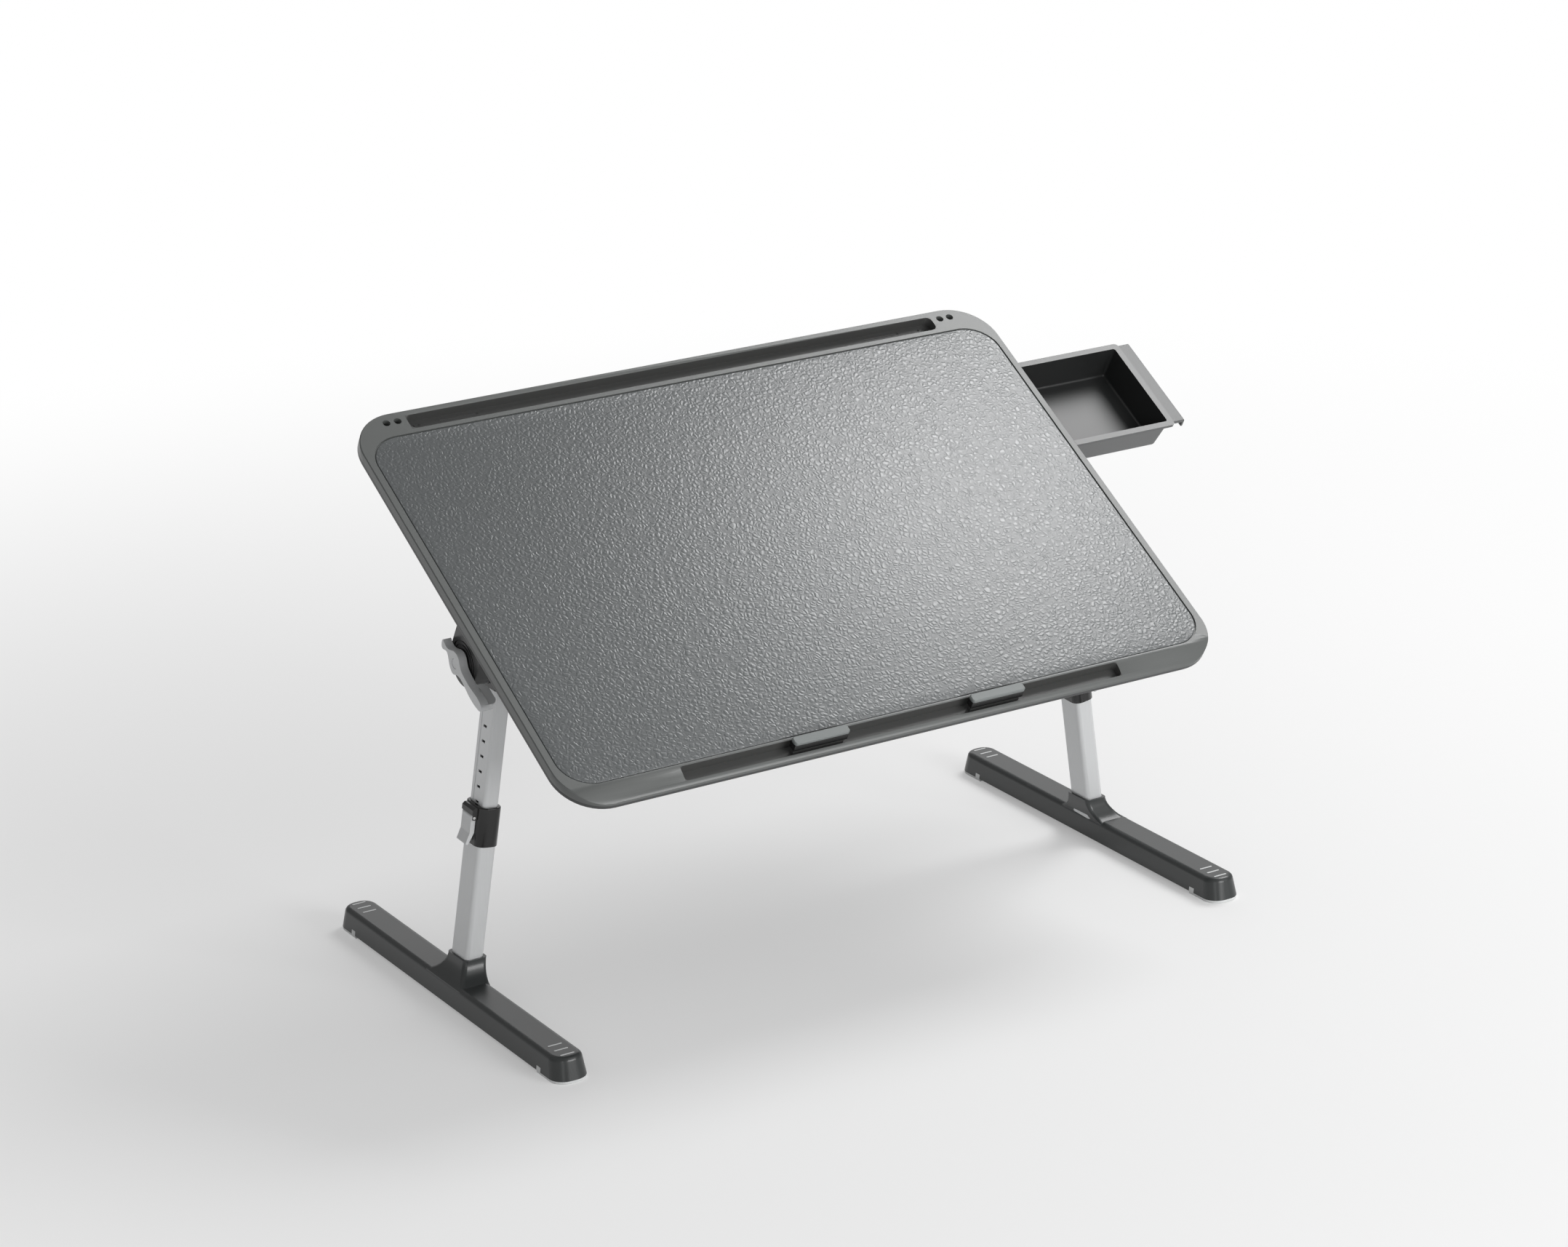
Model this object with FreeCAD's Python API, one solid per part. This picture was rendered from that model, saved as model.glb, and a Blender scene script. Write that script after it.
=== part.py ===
import FreeCAD, Part
import math
import os

# Folding laptop stand with a drawer, in millimetres.
# World frame: X to the right, Y to the back, Z up; the origin is on the floor, midway between the feet.
# Stored as it is used: desk top tilted, legs out, drawer open.
# Desk pieces are drawn flat in a panel frame (u right, v back, h up, zero at the middle of the top
# surface) and then laid at the tilt. Leg pieces are drawn hanging straight down from the fold rivet
# and then leaned. Everything with a left and a right is drawn for the right and mirrored.
V = FreeCAD.Vector
os.makedirs("parts", exist_ok=True)

# Fits and gaps
RUNNING_FIT = 0.05
MOVING_GAP = 0.3
SEAM_GAP = 0.4

# Desk top
TOP_WIDTH = 700.0
TOP_DEPTH = 484.0
TOP_CORNER_R = 45.0
TOP_THICK = 13.0
SEAM_DROP = 8.0
TOP_SKIN = 3.5
RIM_WALL = 3.0
COVER_SKIN = 1.5
COVER_EDGE_R = 2.5
FRONT_ROLL_DEPTH = 22.0
FRONT_ROLL_DROP = 6.5
TOP_EDGE_CHAMFER = 0.9

# Leather mat
PAD_SIDE_MARGIN = 7.4
PAD_FRONT_MARGIN = 21.6
PAD_BACK_MARGIN = 29.2
PAD_CORNER_R = 32.0
PAD_THICK = 1.5
PAD_SINK = 0.15

# Front slot and rear tray
SLOT_SIDE_MARGIN = 115.5
SLOT_WIDTH = 13.5
SLOT_FRONT_MARGIN = 5.0
SLOT_CORNER_R = 3.0
TROUGH_DEPTH = 10.0
TROUGH_WALL = 2.0
TRAY_SIDE_MARGIN = 59.5
TRAY_WIDTH = 17.3
TRAY_BACK_MARGIN = 6.7
CABLE_SLOT_LENGTH = 40.0
CABLE_SLOT_WIDTH = 2.2
CABLE_SLOT_INSET = 56.5
CABLE_SLOT_BACK = 3.5
VENT_HOLE_R = 1.3
VENT_HOLE_PITCH = 5.5
VENT_INSET = 11.0
PEN_HOLE_R = 3.75
PEN_HOLE_PITCH = 11.5
PEN_SIDE_MARGIN = 38.5
PEN_BACK_MARGIN = 11.5

# Tilt and standing height
TILT_DEG = 30.8
HINGE_Y = -11.0
HINGE_Z = 329.6
HINGE_V = -24.0
HINGE_DROP = 26.5

# Leg lean, outwards and to the back
LEAN_DEG = 8.45
PITCH_DEG = 2.3
RIVET_INSET = 14.9

# Bracket under the desk
HOOD_SIDE_MARGIN = 7.0
HOOD_LENGTH = 23.0
PLATE_SIDE_MARGIN = 20.0
PLATE_LENGTH = 77.0
PLATE_FRONT_REACH = 39.0
PLATE_REAR_REACH = 34.0
PLATE_THICK = 6.5
PLATE_CORNER_R = 7.0
PLATE_CHAMFER = 1.5
HOOD_R = 24.0
HOOD_WALL = 2.5
HOOD_END_WALL = 2.5
RIM_LINE_WIDTH = 1.2
RIM_LINE_DEPTH = 0.6
RIM_LINE_GAP = 2.4
SCREW_SHANK_R = 1.6
SCREW_HEAD_R = 3.3
SCREW_HEAD_THICK = 1.6
SCREW_SOCKET_R = 1.3
SCREW_EDGE_INSET = 5.0
BOSS_WALL = 2.6

# Drum, clutch disc, yoke
DRUM_GAP = 0.7
DRUM_THICK = 8.7
CLUTCH_THICK = 1.0
YOKE_DISC_THICK = 8.0
AXLE_R = 4.5
AXLE_IN_YOKE = 6.5
TONGUE_HALF_WIDTH = 6.5
TONGUE_HALF_HEIGHT = 9.0
TONGUE_END_R = 10.8

# Knuckle and rivet
KNUCKLE_HALF_X = 11.0
KNUCKLE_HALF_Y = 17.0
KNUCKLE_DROP = 30.0
KNUCKLE_EDGE_R = 2.0
TUBE_IN_KNUCKLE = 14.5
RIVET_R = 4.0
RIVET_HEAD_R = 6.5
RIVET_HEAD_THICK = 2.2

# Leg tubes
INNER_TUBE_X = 16.0
INNER_TUBE_Y = 27.0
INNER_TUBE_WALL = 1.4
INNER_TUBE_R = 3.0
INNER_TUBE_END = 227.0
TUBE_STRIP_WIDTH = 14.0
TUBE_STRIP_DEPTH = 0.3
NOTCH_PITCH = 14.5
NOTCH_FIRST = 68.5
NOTCH_COUNT = 11
NOTCH_LENGTH = 6.0
NOTCH_HEIGHT = 2.4
OUTER_TUBE_WALL = 1.2
OUTER_TUBE_R = 4.0

# Height collar and its flip latch
COLLAR_TOP = 142.5
COLLAR_LENGTH = 37.5
COLLAR_WALL = 2.2
COLLAR_LIP = 12.0
COLLAR_R = 8.5
LATCH_TOP_INSET = 8.0
LATCH_WIDTH = 17.4
LATCH_LENGTH = 26.0
LATCH_THICK = 4.6
LATCH_KICK = 3.4
LATCH_KICK_LENGTH = 11.0
LATCH_TIP_THICK = 3.0
LATCH_PIN_R = 1.3
LATCH_EAR = 1.4

# Foot
FOOT_OFFSET = 3.9
FOOT_LENGTH = 437.0
FOOT_WIDTH = 36.0
FOOT_TOP_WIDTH = 31.0
FOOT_END_SLANT = 5.0
FOOT_HEIGHT = 23.5
FOOT_END_R = 15.0
FOOT_EDGE_R = 5.0
SOCKET_TOP_Z = 43.0
SOCKET_WALL = 2.4
SOCKET_RUNOUT = 19.0
SOCKET_SINK = 5.0
SOCKET_DEPTH = 20.0
SOCKET_SHAPE = [(0.0, 0.0), (0.3, 0.06), (0.6, 0.27), (0.85, 0.6), (1.0, 1.0)]
PAD_STRIP_THICK = 2.8
PAD_STRIP_LENGTH = 38.0
PAD_STRIP_INSET = 0.3
PAD_STRIP_EDGE = 0.6
PAD_TAB_LENGTH = 7.0
PAD_TAB_HEIGHT = 4.5
PAD_TAB_SINK = 0.8
PAD_TAB_PROUD = 0.2
INLAY_COUNT = 3
INLAY_PITCH = 11.4
INLAY_LENGTH = 14.0
INLAY_WIDTH = 1.8
INLAY_PROUD = 0.2
INLAY_DEPTH = 1.0
INLAY_END_MARGIN = 7.5

# Lock lever beside the hood
LEVER_GAP = 1.0
LEVER_THICK = 8.0
LEVER_HUB_R = 11.0
LEVER_HANDLE_INSET = 0.6
LEVER_HANDLE_LENGTH = 24.5
LEVER_HANDLE_DEPTH = 9.0
LEVER_HANDLE_R = 6.0
LEVER_SHAPE = [(2.24, 0.41), (1.0, 0.58), (0.36, 1.0), (-0.27, 1.0), (-0.91, 0.47), (-1.64, 0.25),
               (-3.2, 0.26), (-4.73, 0.32), (-5.06, 0.14), (-5.06, -0.32), (-4.73, -0.48), (-2.7, -0.55),
               (-0.72, -0.62), (-0.2, -1.0), (0.32, -0.91), (0.91, -0.41), (1.45, -0.06), (2.0, -0.33),
               (2.24, -0.33)]
LEVER_PIN_R = 2.4
LEVER_PIN_DEPTH = 8.0
LEVER_PIN_HEAD_R = 4.6
LEVER_PIN_HEAD_THICK = 1.2
LEVER_PIN_SINK = 0.5
LEVER_RECESS_R = 5.0

# Page stops
STOP_SPACING = 189.5
STOP_LENGTH = 58.0
STOP_DEPTH = 9.0
STOP_CAP_THICK = 3.0
STOP_RISE = 8.5
STOP_TRAVEL = 7.0
STOP_FRONT_GAP = 1.5
STOP_SKIRT_INSET = 0.8
STOP_SKIRT_WALL = 1.2

# Drawer and its housing
HOUSING_SIDE_MARGIN = 30.0
HOUSING_LENGTH = 223.0
HOUSING_BACK_MARGIN = 65.0
HOUSING_WIDTH = 131.0
HOUSING_HEIGHT = 43.5
HOUSING_WALL = 2.0
HOUSING_CORNER_R = 7.0
HOUSING_EDGE_R = 4.2
FLANGE_WIDTH = 9.0
FLANGE_THICK = 2.2
DRAWER_TRAVEL = 153.0
DRAWER_STANDOFF = 11.5
DRAWER_BACK_GAP = 6.5
DRAWER_SIDE_GAP = 4.7
DRAWER_FLOOR_GAP = 1.0
DRAWER_RIM_DROP = 5.0
DRAWER_RIM_THICK = 3.0
DRAWER_RIM_WIDTH = 6.3
DRAWER_WALL = 2.0
DRAWER_DRAFT = 3.5
DRAWER_CORNER_R = 4.5
DRAWER_EDGE_R = 4.2
DRAWER_ROOM_R = 2.4
PULL_LENGTH = 13.0
PULL_INSET = 3.0
PULL_THICK = 2.5
PULL_HOOK = 8.0
PULL_CORNER_R = 1.0
RAIL_LEDGE = 3.2
RAIL_THICK = 2.0
RAIL_SETBACK = 1.0
CATCH_LENGTH = 14.0
CATCH_DEPTH = 5.0
CATCH_HEIGHT = 9.0
CATCH_DROP = 11.5

# Positions that follow from the sizes above
HALF_WIDTH = TOP_WIDTH / 2
HALF_DEPTH = TOP_DEPTH / 2
UNDER_H = -TOP_THICK
SEAM_H = -SEAM_DROP
PAD_WIDTH = TOP_WIDTH - 2 * PAD_SIDE_MARGIN
PAD_DEPTH = TOP_DEPTH - PAD_FRONT_MARGIN - PAD_BACK_MARGIN
PAD_V = (PAD_FRONT_MARGIN - PAD_BACK_MARGIN) / 2
SLOT_LENGTH = TOP_WIDTH - 2 * SLOT_SIDE_MARGIN
SLOT_V = -HALF_DEPTH + SLOT_FRONT_MARGIN + SLOT_WIDTH / 2
TRAY_LENGTH = TOP_WIDTH - 2 * TRAY_SIDE_MARGIN
TRAY_V = HALF_DEPTH - TRAY_BACK_MARGIN - TRAY_WIDTH / 2
CABLE_SLOT_U = TRAY_LENGTH / 2 - CABLE_SLOT_INSET
CABLE_SLOT_V = TRAY_V + CABLE_SLOT_BACK
VENT_U = TRAY_LENGTH / 2 - VENT_INSET
PEN_OUTER_U = HALF_WIDTH - PEN_SIDE_MARGIN
PEN_V = HALF_DEPTH - PEN_BACK_MARGIN
PLATE_H = UNDER_H - PLATE_THICK
HINGE_H = PLATE_H - HINGE_DROP
HOOD_OUTER_U = HALF_WIDTH - HOOD_SIDE_MARGIN
HOOD_INNER_U = HOOD_OUTER_U - HOOD_LENGTH
PLATE_OUTER_U = HALF_WIDTH - PLATE_SIDE_MARGIN
PLATE_INNER_U = PLATE_OUTER_U - PLATE_LENGTH
PLATE_FRONT_V = HINGE_V - PLATE_FRONT_REACH
PLATE_REAR_V = HINGE_V + PLATE_REAR_REACH
RIVET_X = HOOD_INNER_U - RIVET_INSET
DRUM_R = HOOD_R - HOOD_WALL - DRUM_GAP
DRUM_OUTER_U = HOOD_OUTER_U - HOOD_END_WALL - MOVING_GAP
DRUM_INNER_U = DRUM_OUTER_U - DRUM_THICK
CLUTCH_INNER_U = DRUM_INNER_U - CLUTCH_THICK
YOKE_OUTER_U = CLUTCH_INNER_U - MOVING_GAP
YOKE_INNER_U = YOKE_OUTER_U - YOKE_DISC_THICK
OUTER_TUBE_X = INNER_TUBE_X + 2 * (MOVING_GAP + OUTER_TUBE_WALL)
OUTER_TUBE_Y = INNER_TUBE_Y + 2 * (MOVING_GAP + OUTER_TUBE_WALL)
COLLAR_BOTTOM = COLLAR_TOP + COLLAR_LENGTH
COLLAR_X = OUTER_TUBE_X / 2 + COLLAR_WALL
COLLAR_Y = OUTER_TUBE_Y / 2 + COLLAR_WALL
LATCH_PIVOT_X = COLLAR_X + MOVING_GAP + LATCH_THICK / 2
LATCH_PIVOT_S = COLLAR_TOP + LATCH_TOP_INSET + MOVING_GAP + LATCH_THICK / 2
LEAN = math.radians(LEAN_DEG)
PITCH = math.radians(PITCH_DEG)
SOCKET_TOP = (HINGE_Z - SOCKET_TOP_Z) / math.cos(LEAN) / math.cos(PITCH)
OUTER_TUBE_END = SOCKET_TOP + SOCKET_DEPTH
FOOT_X = RIVET_X + HINGE_Z * math.tan(LEAN) / math.cos(PITCH) + FOOT_OFFSET
LEVER_INNER_U = HOOD_OUTER_U + LEVER_GAP
LEVER_OUTER_U = LEVER_INNER_U + LEVER_THICK
STOP_V = SLOT_V - SLOT_WIDTH / 2 + STOP_FRONT_GAP + STOP_DEPTH / 2
STOP_SKIRT_LOW = STOP_TRAVEL + MOVING_GAP - TROUGH_DEPTH
HOUSING_OUTER_U = HALF_WIDTH - HOUSING_SIDE_MARGIN
HOUSING_INNER_U = HOUSING_OUTER_U - HOUSING_LENGTH
HOUSING_REAR_V = HALF_DEPTH - HOUSING_BACK_MARGIN
HOUSING_FRONT_V = HOUSING_REAR_V - HOUSING_WIDTH
HOUSING_BOTTOM_H = UNDER_H - HOUSING_HEIGHT
DRAWER_RIM_H = UNDER_H - DRAWER_RIM_DROP
DRAWER_BOTTOM_H = HOUSING_BOTTOM_H + HOUSING_WALL + DRAWER_FLOOR_GAP
DRAWER_V = (HOUSING_FRONT_V + HOUSING_REAR_V) / 2
DRAWER_WIDTH = HOUSING_WIDTH - 2 * HOUSING_WALL - 2 * DRAWER_SIDE_GAP
DRAWER_END_U = HOUSING_OUTER_U + DRAWER_STANDOFF + DRAWER_TRAVEL
DRAWER_BACK_U = HOUSING_INNER_U + HOUSING_WALL + DRAWER_BACK_GAP + DRAWER_TRAVEL
DRAWER_LENGTH = DRAWER_END_U - DRAWER_BACK_U


def block(u0, u1, v0, v1, h0, h1):
    return Part.makeBox(u1 - u0, v1 - v0, h1 - h0, V(u0, v0, h0))


def rod_x(u0, u1, v, h, r):
    return Part.makeCylinder(r, u1 - u0, V(u0, v, h), V(1, 0, 0))


def rod_y(v0, v1, u, h, r):
    return Part.makeCylinder(r, v1 - v0, V(u, v0, h), V(0, 1, 0))


def rod_z(h0, h1, u, v, r):
    return Part.makeCylinder(r, h1 - h0, V(u, v, h0), V(0, 0, 1))


def round_rect(width, depth, r, h, u=0.0, v=0.0):
    """Closed wire of a rectangle with round corners, centred on u, v at height h."""
    a = width / 2
    b = depth / 2
    r = min(r, a - 0.01, b - 0.01)
    k = r * (1 - math.sqrt(0.5))
    corners = [(a, b), (-a, b), (-a, -b), (a, -b)]
    edges = []
    last = None
    first = None
    for i, (cu, cv) in enumerate(corners):
        su = 1 if cu > 0 else -1
        sv = 1 if cv > 0 else -1
        along_u = V(u + cu - su * r, v + cv, h)
        along_v = V(u + cu, v + cv - sv * r, h)
        mid = V(u + cu - su * k, v + cv - sv * k, h)
        start, end = (along_v, along_u) if i % 2 == 0 else (along_u, along_v)
        if last is not None:
            edges.append(Part.makeLine(last, start))
        else:
            first = start
        edges.append(Part.Arc(start, mid, end).toShape())
        last = end
    edges.append(Part.makeLine(last, first))
    return Part.Wire(edges)


def slab(width, depth, r, h0, h1, u=0.0, v=0.0):
    """Flat plate with round corners between two heights."""
    return Part.Face(round_rect(width, depth, r, h0, u, v)).extrude(V(0, 0, h1 - h0))


def frustum(wire_a, wire_b):
    return Part.makeLoft([wire_a, wire_b], True, True)


def prism_x(points, u0, u1):
    """Polygon of (v, h) points drawn out along X."""
    corners = [V(u0, v, h) for v, h in points]
    return Part.Face(Part.makePolygon(corners + corners[:1])).extrude(V(u1 - u0, 0, 0))


def prism_y(points, v0, v1):
    """Polygon of (u, h) points drawn out along Y."""
    corners = [V(u, v0, h) for u, h in points]
    return Part.Face(Part.makePolygon(corners + corners[:1])).extrude(V(0, v1 - v0, 0))


def pick(shape, test):
    """Edges whose two end points and middle all pass the test."""
    found = []
    for edge in shape.Edges:
        first, last = edge.ParameterRange
        ends = [edge.valueAt(t) for t in (first, (first + last) / 2, last)]
        if all(test(p) for p in ends):
            found.append(edge)
    return found


def softened(shape, r, test):
    edges = pick(shape, test)
    return shape.makeFillet(r, edges) if edges else shape


def bevelled(shape, c, test):
    edges = pick(shape, test)
    return shape.makeChamfer(c, edges) if edges else shape


def joined(shapes):
    whole = shapes[0]
    for other in shapes[1:]:
        whole = whole.fuse(other)
    return whole.removeSplitter()


def on_desk(shape):
    """Lay a piece drawn flat in the panel frame at the tilt, its hinge line on the drum axis."""
    placed = shape.copy()
    placed.translate(V(0, -HINGE_V, -HINGE_H))
    placed.rotate(V(0, 0, 0), V(1, 0, 0), TILT_DEG)
    placed.translate(V(0, HINGE_Y, HINGE_Z))
    return placed


def on_leg(shape):
    """Lean a piece drawn hanging below the fold rivet, and put it at the right rivet."""
    placed = shape.copy()
    placed.rotate(V(0, 0, 0), V(0, 1, 0), -LEAN_DEG)
    placed.rotate(V(0, 0, 0), V(1, 0, 0), PITCH_DEG)
    placed.translate(V(RIVET_X, HINGE_Y, HINGE_Z))
    return placed


def on_axis(shape):
    """Put a piece drawn about the drum axis at its height, pitched like the leg."""
    placed = shape.copy()
    placed.rotate(V(0, 0, 0), V(1, 0, 0), PITCH_DEG)
    placed.translate(V(0, HINGE_Y, HINGE_Z))
    return placed


def keep(shape, name):
    if not shape.isValid():
        print("not valid:", name)
    shape.exportStep("parts/" + name + ".step")


def keep_pair(shape, name):
    keep(shape, name + "_right")
    keep(shape.mirror(V(0, 0, 0), V(1, 0, 0)), name + "_left")


# ---------------------------------------------------------------- desk top

def screw_spots():
    """Screw positions (u, v) of one bracket plate."""
    front = PLATE_FRONT_V + SCREW_EDGE_INSET
    rear = PLATE_REAR_V - SCREW_EDGE_INSET
    inner = PLATE_INNER_U + SCREW_EDGE_INSET
    outer = PLATE_OUTER_U - SCREW_EDGE_INSET
    middle = (inner + HOOD_INNER_U - SCREW_EDGE_INSET) / 2
    return [(inner, front), (middle, front), (outer, front), (inner, rear), (middle, rear)]


def housing_screw_spots():
    front = HOUSING_FRONT_V - FLANGE_WIDTH / 2
    rear = HOUSING_REAR_V + FLANGE_WIDTH / 2
    spots = []
    for share in (0.12, 0.5, 0.88):
        u = HOUSING_INNER_U + share * (HOUSING_OUTER_U - HOUSING_INNER_U)
        spots.append((u, front))
        spots.append((u, rear))
    return spots


def all_screw_spots():
    right = screw_spots()
    return right + [(-u, v) for u, v in right] + housing_screw_spots()


def pen_spots():
    outer = [(PEN_OUTER_U, PEN_V), (PEN_OUTER_U - PEN_HOLE_PITCH, PEN_V)]
    return outer + [(-u, v) for u, v in outer]


def stop_spots():
    return [-STOP_SPACING / 2, STOP_SPACING / 2]


def trough_openings():
    """Slots and vents through the bottom of the rear tray."""
    cuts = []
    for side in (-1, 1):
        cuts.append(slab(CABLE_SLOT_LENGTH, CABLE_SLOT_WIDTH, CABLE_SLOT_WIDTH / 2, UNDER_H - 1, 1,
                         side * CABLE_SLOT_U, CABLE_SLOT_V))
        for i in (-0.5, 0.5):
            for j in (-0.5, 0.5):
                cuts.append(rod_z(UNDER_H - 1, 1, side * VENT_U + i * VENT_HOLE_PITCH,
                                  TRAY_V + j * VENT_HOLE_PITCH, VENT_HOLE_R))
    return cuts


def front_roll(extra):
    """What is cut away over the front edge, where the top surface rolls down."""
    start = V(0, -HALF_DEPTH + FRONT_ROLL_DEPTH, 0)
    mid = V(0, -HALF_DEPTH + FRONT_ROLL_DEPTH * 0.45, -FRONT_ROLL_DROP * 0.36)
    end = V(0, -HALF_DEPTH, -FRONT_ROLL_DROP)
    beyond = V(0, -HALF_DEPTH - extra, -FRONT_ROLL_DROP)
    above = V(0, -HALF_DEPTH - extra, extra)
    back = V(0, start.y, extra)
    wire = Part.Wire([Part.Arc(start, mid, end).toShape(), Part.makeLine(end, beyond),
                      Part.makeLine(beyond, above), Part.makeLine(above, back),
                      Part.makeLine(back, start)])
    cut = Part.Face(wire).extrude(V(TOP_WIDTH + 2 * extra, 0, 0))
    cut.translate(V(-HALF_WIDTH - extra, 0, 0))
    return cut


def desktop_frame():
    """Moulded top shell with its two troughs, mat recess, pen holes and screw bosses."""
    shell = slab(TOP_WIDTH, TOP_DEPTH, TOP_CORNER_R, SEAM_H, 0)
    shell = shell.cut(front_roll(TOP_THICK))
    inner_front = SLOT_V + SLOT_WIDTH / 2 + TROUGH_WALL
    inner_back = TRAY_V - TRAY_WIDTH / 2 - TROUGH_WALL
    hollow = slab(TOP_WIDTH - 2 * RIM_WALL, inner_back - inner_front, TOP_CORNER_R / 2, SEAM_H, -TOP_SKIN,
                  0, (inner_front + inner_back) / 2)
    shell = shell.cut(hollow)
    floor_h = -TOP_THICK + COVER_SKIN
    slot_box = slab(SLOT_LENGTH + 2 * TROUGH_WALL, SLOT_WIDTH + 2 * TROUGH_WALL,
                    SLOT_CORNER_R + TROUGH_WALL, floor_h, SEAM_H + 1, 0, SLOT_V)
    tray_box = slab(TRAY_LENGTH + 2 * TROUGH_WALL, TRAY_WIDTH + 2 * TROUGH_WALL,
                    TRAY_WIDTH / 3 + TROUGH_WALL, floor_h, SEAM_H + 1, 0, TRAY_V)
    bosses = [rod_z(floor_h, -TOP_SKIN + 0.5, u, v, SCREW_SHANK_R + BOSS_WALL) for u, v in all_screw_spots()]
    shell = joined([shell, slot_box, tray_box] + bosses)
    cuts = [slab(PAD_WIDTH + 2 * SEAM_GAP, PAD_DEPTH + 2 * SEAM_GAP, PAD_CORNER_R, -PAD_THICK, 1, 0, PAD_V)]
    cuts.append(slab(SLOT_LENGTH, SLOT_WIDTH, SLOT_CORNER_R, -TROUGH_DEPTH, 1, 0, SLOT_V))
    cuts.append(slab(TRAY_LENGTH, TRAY_WIDTH, TRAY_WIDTH / 3, -TROUGH_DEPTH, 1, 0, TRAY_V))
    cuts += [rod_z(floor_h - 1, 1, u, v, PEN_HOLE_R) for u, v in pen_spots()]
    cuts += [rod_z(floor_h - 1, -TOP_SKIN, u, v, SCREW_SHANK_R) for u, v in all_screw_spots()]
    cuts += trough_openings()
    shell = shell.cut(cuts)
    shell = joined([shell] + [stop_core(u) for u in stop_spots()])
    return bevelled(shell, TOP_EDGE_CHAMFER, lambda p: abs(p.z) < 0.01 and on_rim(p))


def on_rim(p):
    """True on the outline of the desk top."""
    du = abs(p.x) - (HALF_WIDTH - TOP_CORNER_R)
    dv = abs(p.y) - (HALF_DEPTH - TOP_CORNER_R)
    if du > 0 and dv > 0:
        return abs(math.hypot(du, dv) - TOP_CORNER_R) < 0.05
    return abs(du - TOP_CORNER_R) < 0.05 or abs(dv - TOP_CORNER_R) < 0.05


def underside_cover():
    """Bottom half of the desk top, a shallow tray that closes the shell."""
    cover = slab(TOP_WIDTH, TOP_DEPTH, TOP_CORNER_R, UNDER_H, SEAM_H)
    cover = softened(cover, COVER_EDGE_R, lambda p: abs(p.z - UNDER_H) < 0.01)
    wall = min(RIM_WALL, SLOT_FRONT_MARGIN - TROUGH_WALL, TRAY_BACK_MARGIN - TROUGH_WALL)
    cover = cover.cut(slab(TOP_WIDTH - 2 * wall, TOP_DEPTH - 2 * wall, TOP_CORNER_R - wall,
                           UNDER_H + COVER_SKIN, SEAM_H + 1))
    cuts = [rod_z(UNDER_H - 1, SEAM_H, u, v, SCREW_SHANK_R) for u, v in all_screw_spots()]
    return cover.cut(cuts + trough_openings())


def leather_pad():
    return slab(PAD_WIDTH, PAD_DEPTH, PAD_CORNER_R - SEAM_GAP, -PAD_THICK, -PAD_SINK, 0, PAD_V)


def stop_block(u, inset, low, top):
    """Block as long and deep as a page stop's skirt, shrunk by an inset, between two heights."""
    half = STOP_LENGTH / 2 - STOP_SKIRT_INSET - inset
    side = STOP_DEPTH / 2 - STOP_SKIRT_INSET - inset
    return block(u - half, u + half, STOP_V - side, STOP_V + side, low, top)


def stop_core(u):
    """Fixed block in the slot that a page stop's skirt slides down over."""
    top = STOP_RISE - STOP_CAP_THICK - STOP_TRAVEL - MOVING_GAP
    return stop_block(u, STOP_SKIRT_WALL + MOVING_GAP, -TROUGH_DEPTH - TROUGH_WALL / 4, top)


def page_stop(u):
    """Push-down stop: flat cap on a hollow skirt that slides over the core in the slot."""
    under = STOP_RISE - STOP_CAP_THICK
    cap = slab(STOP_LENGTH, STOP_DEPTH, STOP_CAP_THICK, under, STOP_RISE, u, STOP_V)
    cap = bevelled(cap, STOP_CAP_THICK * 0.3, lambda p: abs(p.z - STOP_RISE) < 0.01)
    room = stop_block(u, STOP_SKIRT_WALL, STOP_SKIRT_LOW, under)
    return cap, stop_block(u, 0, STOP_SKIRT_LOW, under).cut(room)


# ---------------------------------------------------------------- bracket

def bracket():
    """Base plate screwed under the desk, with the hood that carries the tilt drum."""
    width = PLATE_OUTER_U - PLATE_INNER_U
    depth = PLATE_REAR_V - PLATE_FRONT_V
    plate = slab(width, depth, PLATE_CORNER_R, PLATE_H, UNDER_H,
                 (PLATE_INNER_U + PLATE_OUTER_U) / 2, (PLATE_FRONT_V + PLATE_REAR_V) / 2)
    plate = bevelled(plate, PLATE_CHAMFER, lambda p: abs(p.z - PLATE_H) < 0.01)
    hood = rod_x(HOOD_INNER_U, HOOD_OUTER_U, HINGE_V, HINGE_H, HOOD_R)
    web = block(HOOD_INNER_U, HOOD_OUTER_U, HINGE_V - HOOD_R, HINGE_V + HOOD_R, HINGE_H, UNDER_H)
    whole = joined([plate, hood, web])
    inside = rod_x(HOOD_INNER_U, HOOD_OUTER_U - HOOD_END_WALL, HINGE_V, HINGE_H, HOOD_R - HOOD_WALL)
    axle = rod_x(HOOD_INNER_U, HOOD_OUTER_U + 1, HINGE_V, HINGE_H, AXLE_R + RUNNING_FIT)
    cuts = [inside, axle]
    for i in (0, 1):
        r = HOOD_R - HOOD_WALL - RIM_LINE_WIDTH - i * (RIM_LINE_WIDTH + RIM_LINE_GAP)
        ring = rod_x(HOOD_OUTER_U - RIM_LINE_DEPTH, HOOD_OUTER_U + 1, HINGE_V, HINGE_H, r)
        cuts.append(ring.cut(rod_x(HOOD_INNER_U, HOOD_OUTER_U + 2, HINGE_V, HINGE_H, r - RIM_LINE_WIDTH)))
    cuts += [rod_z(PLATE_H - 1, UNDER_H + 1, u, v, SCREW_SHANK_R) for u, v in screw_spots()]
    return whole.cut(cuts)


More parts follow.
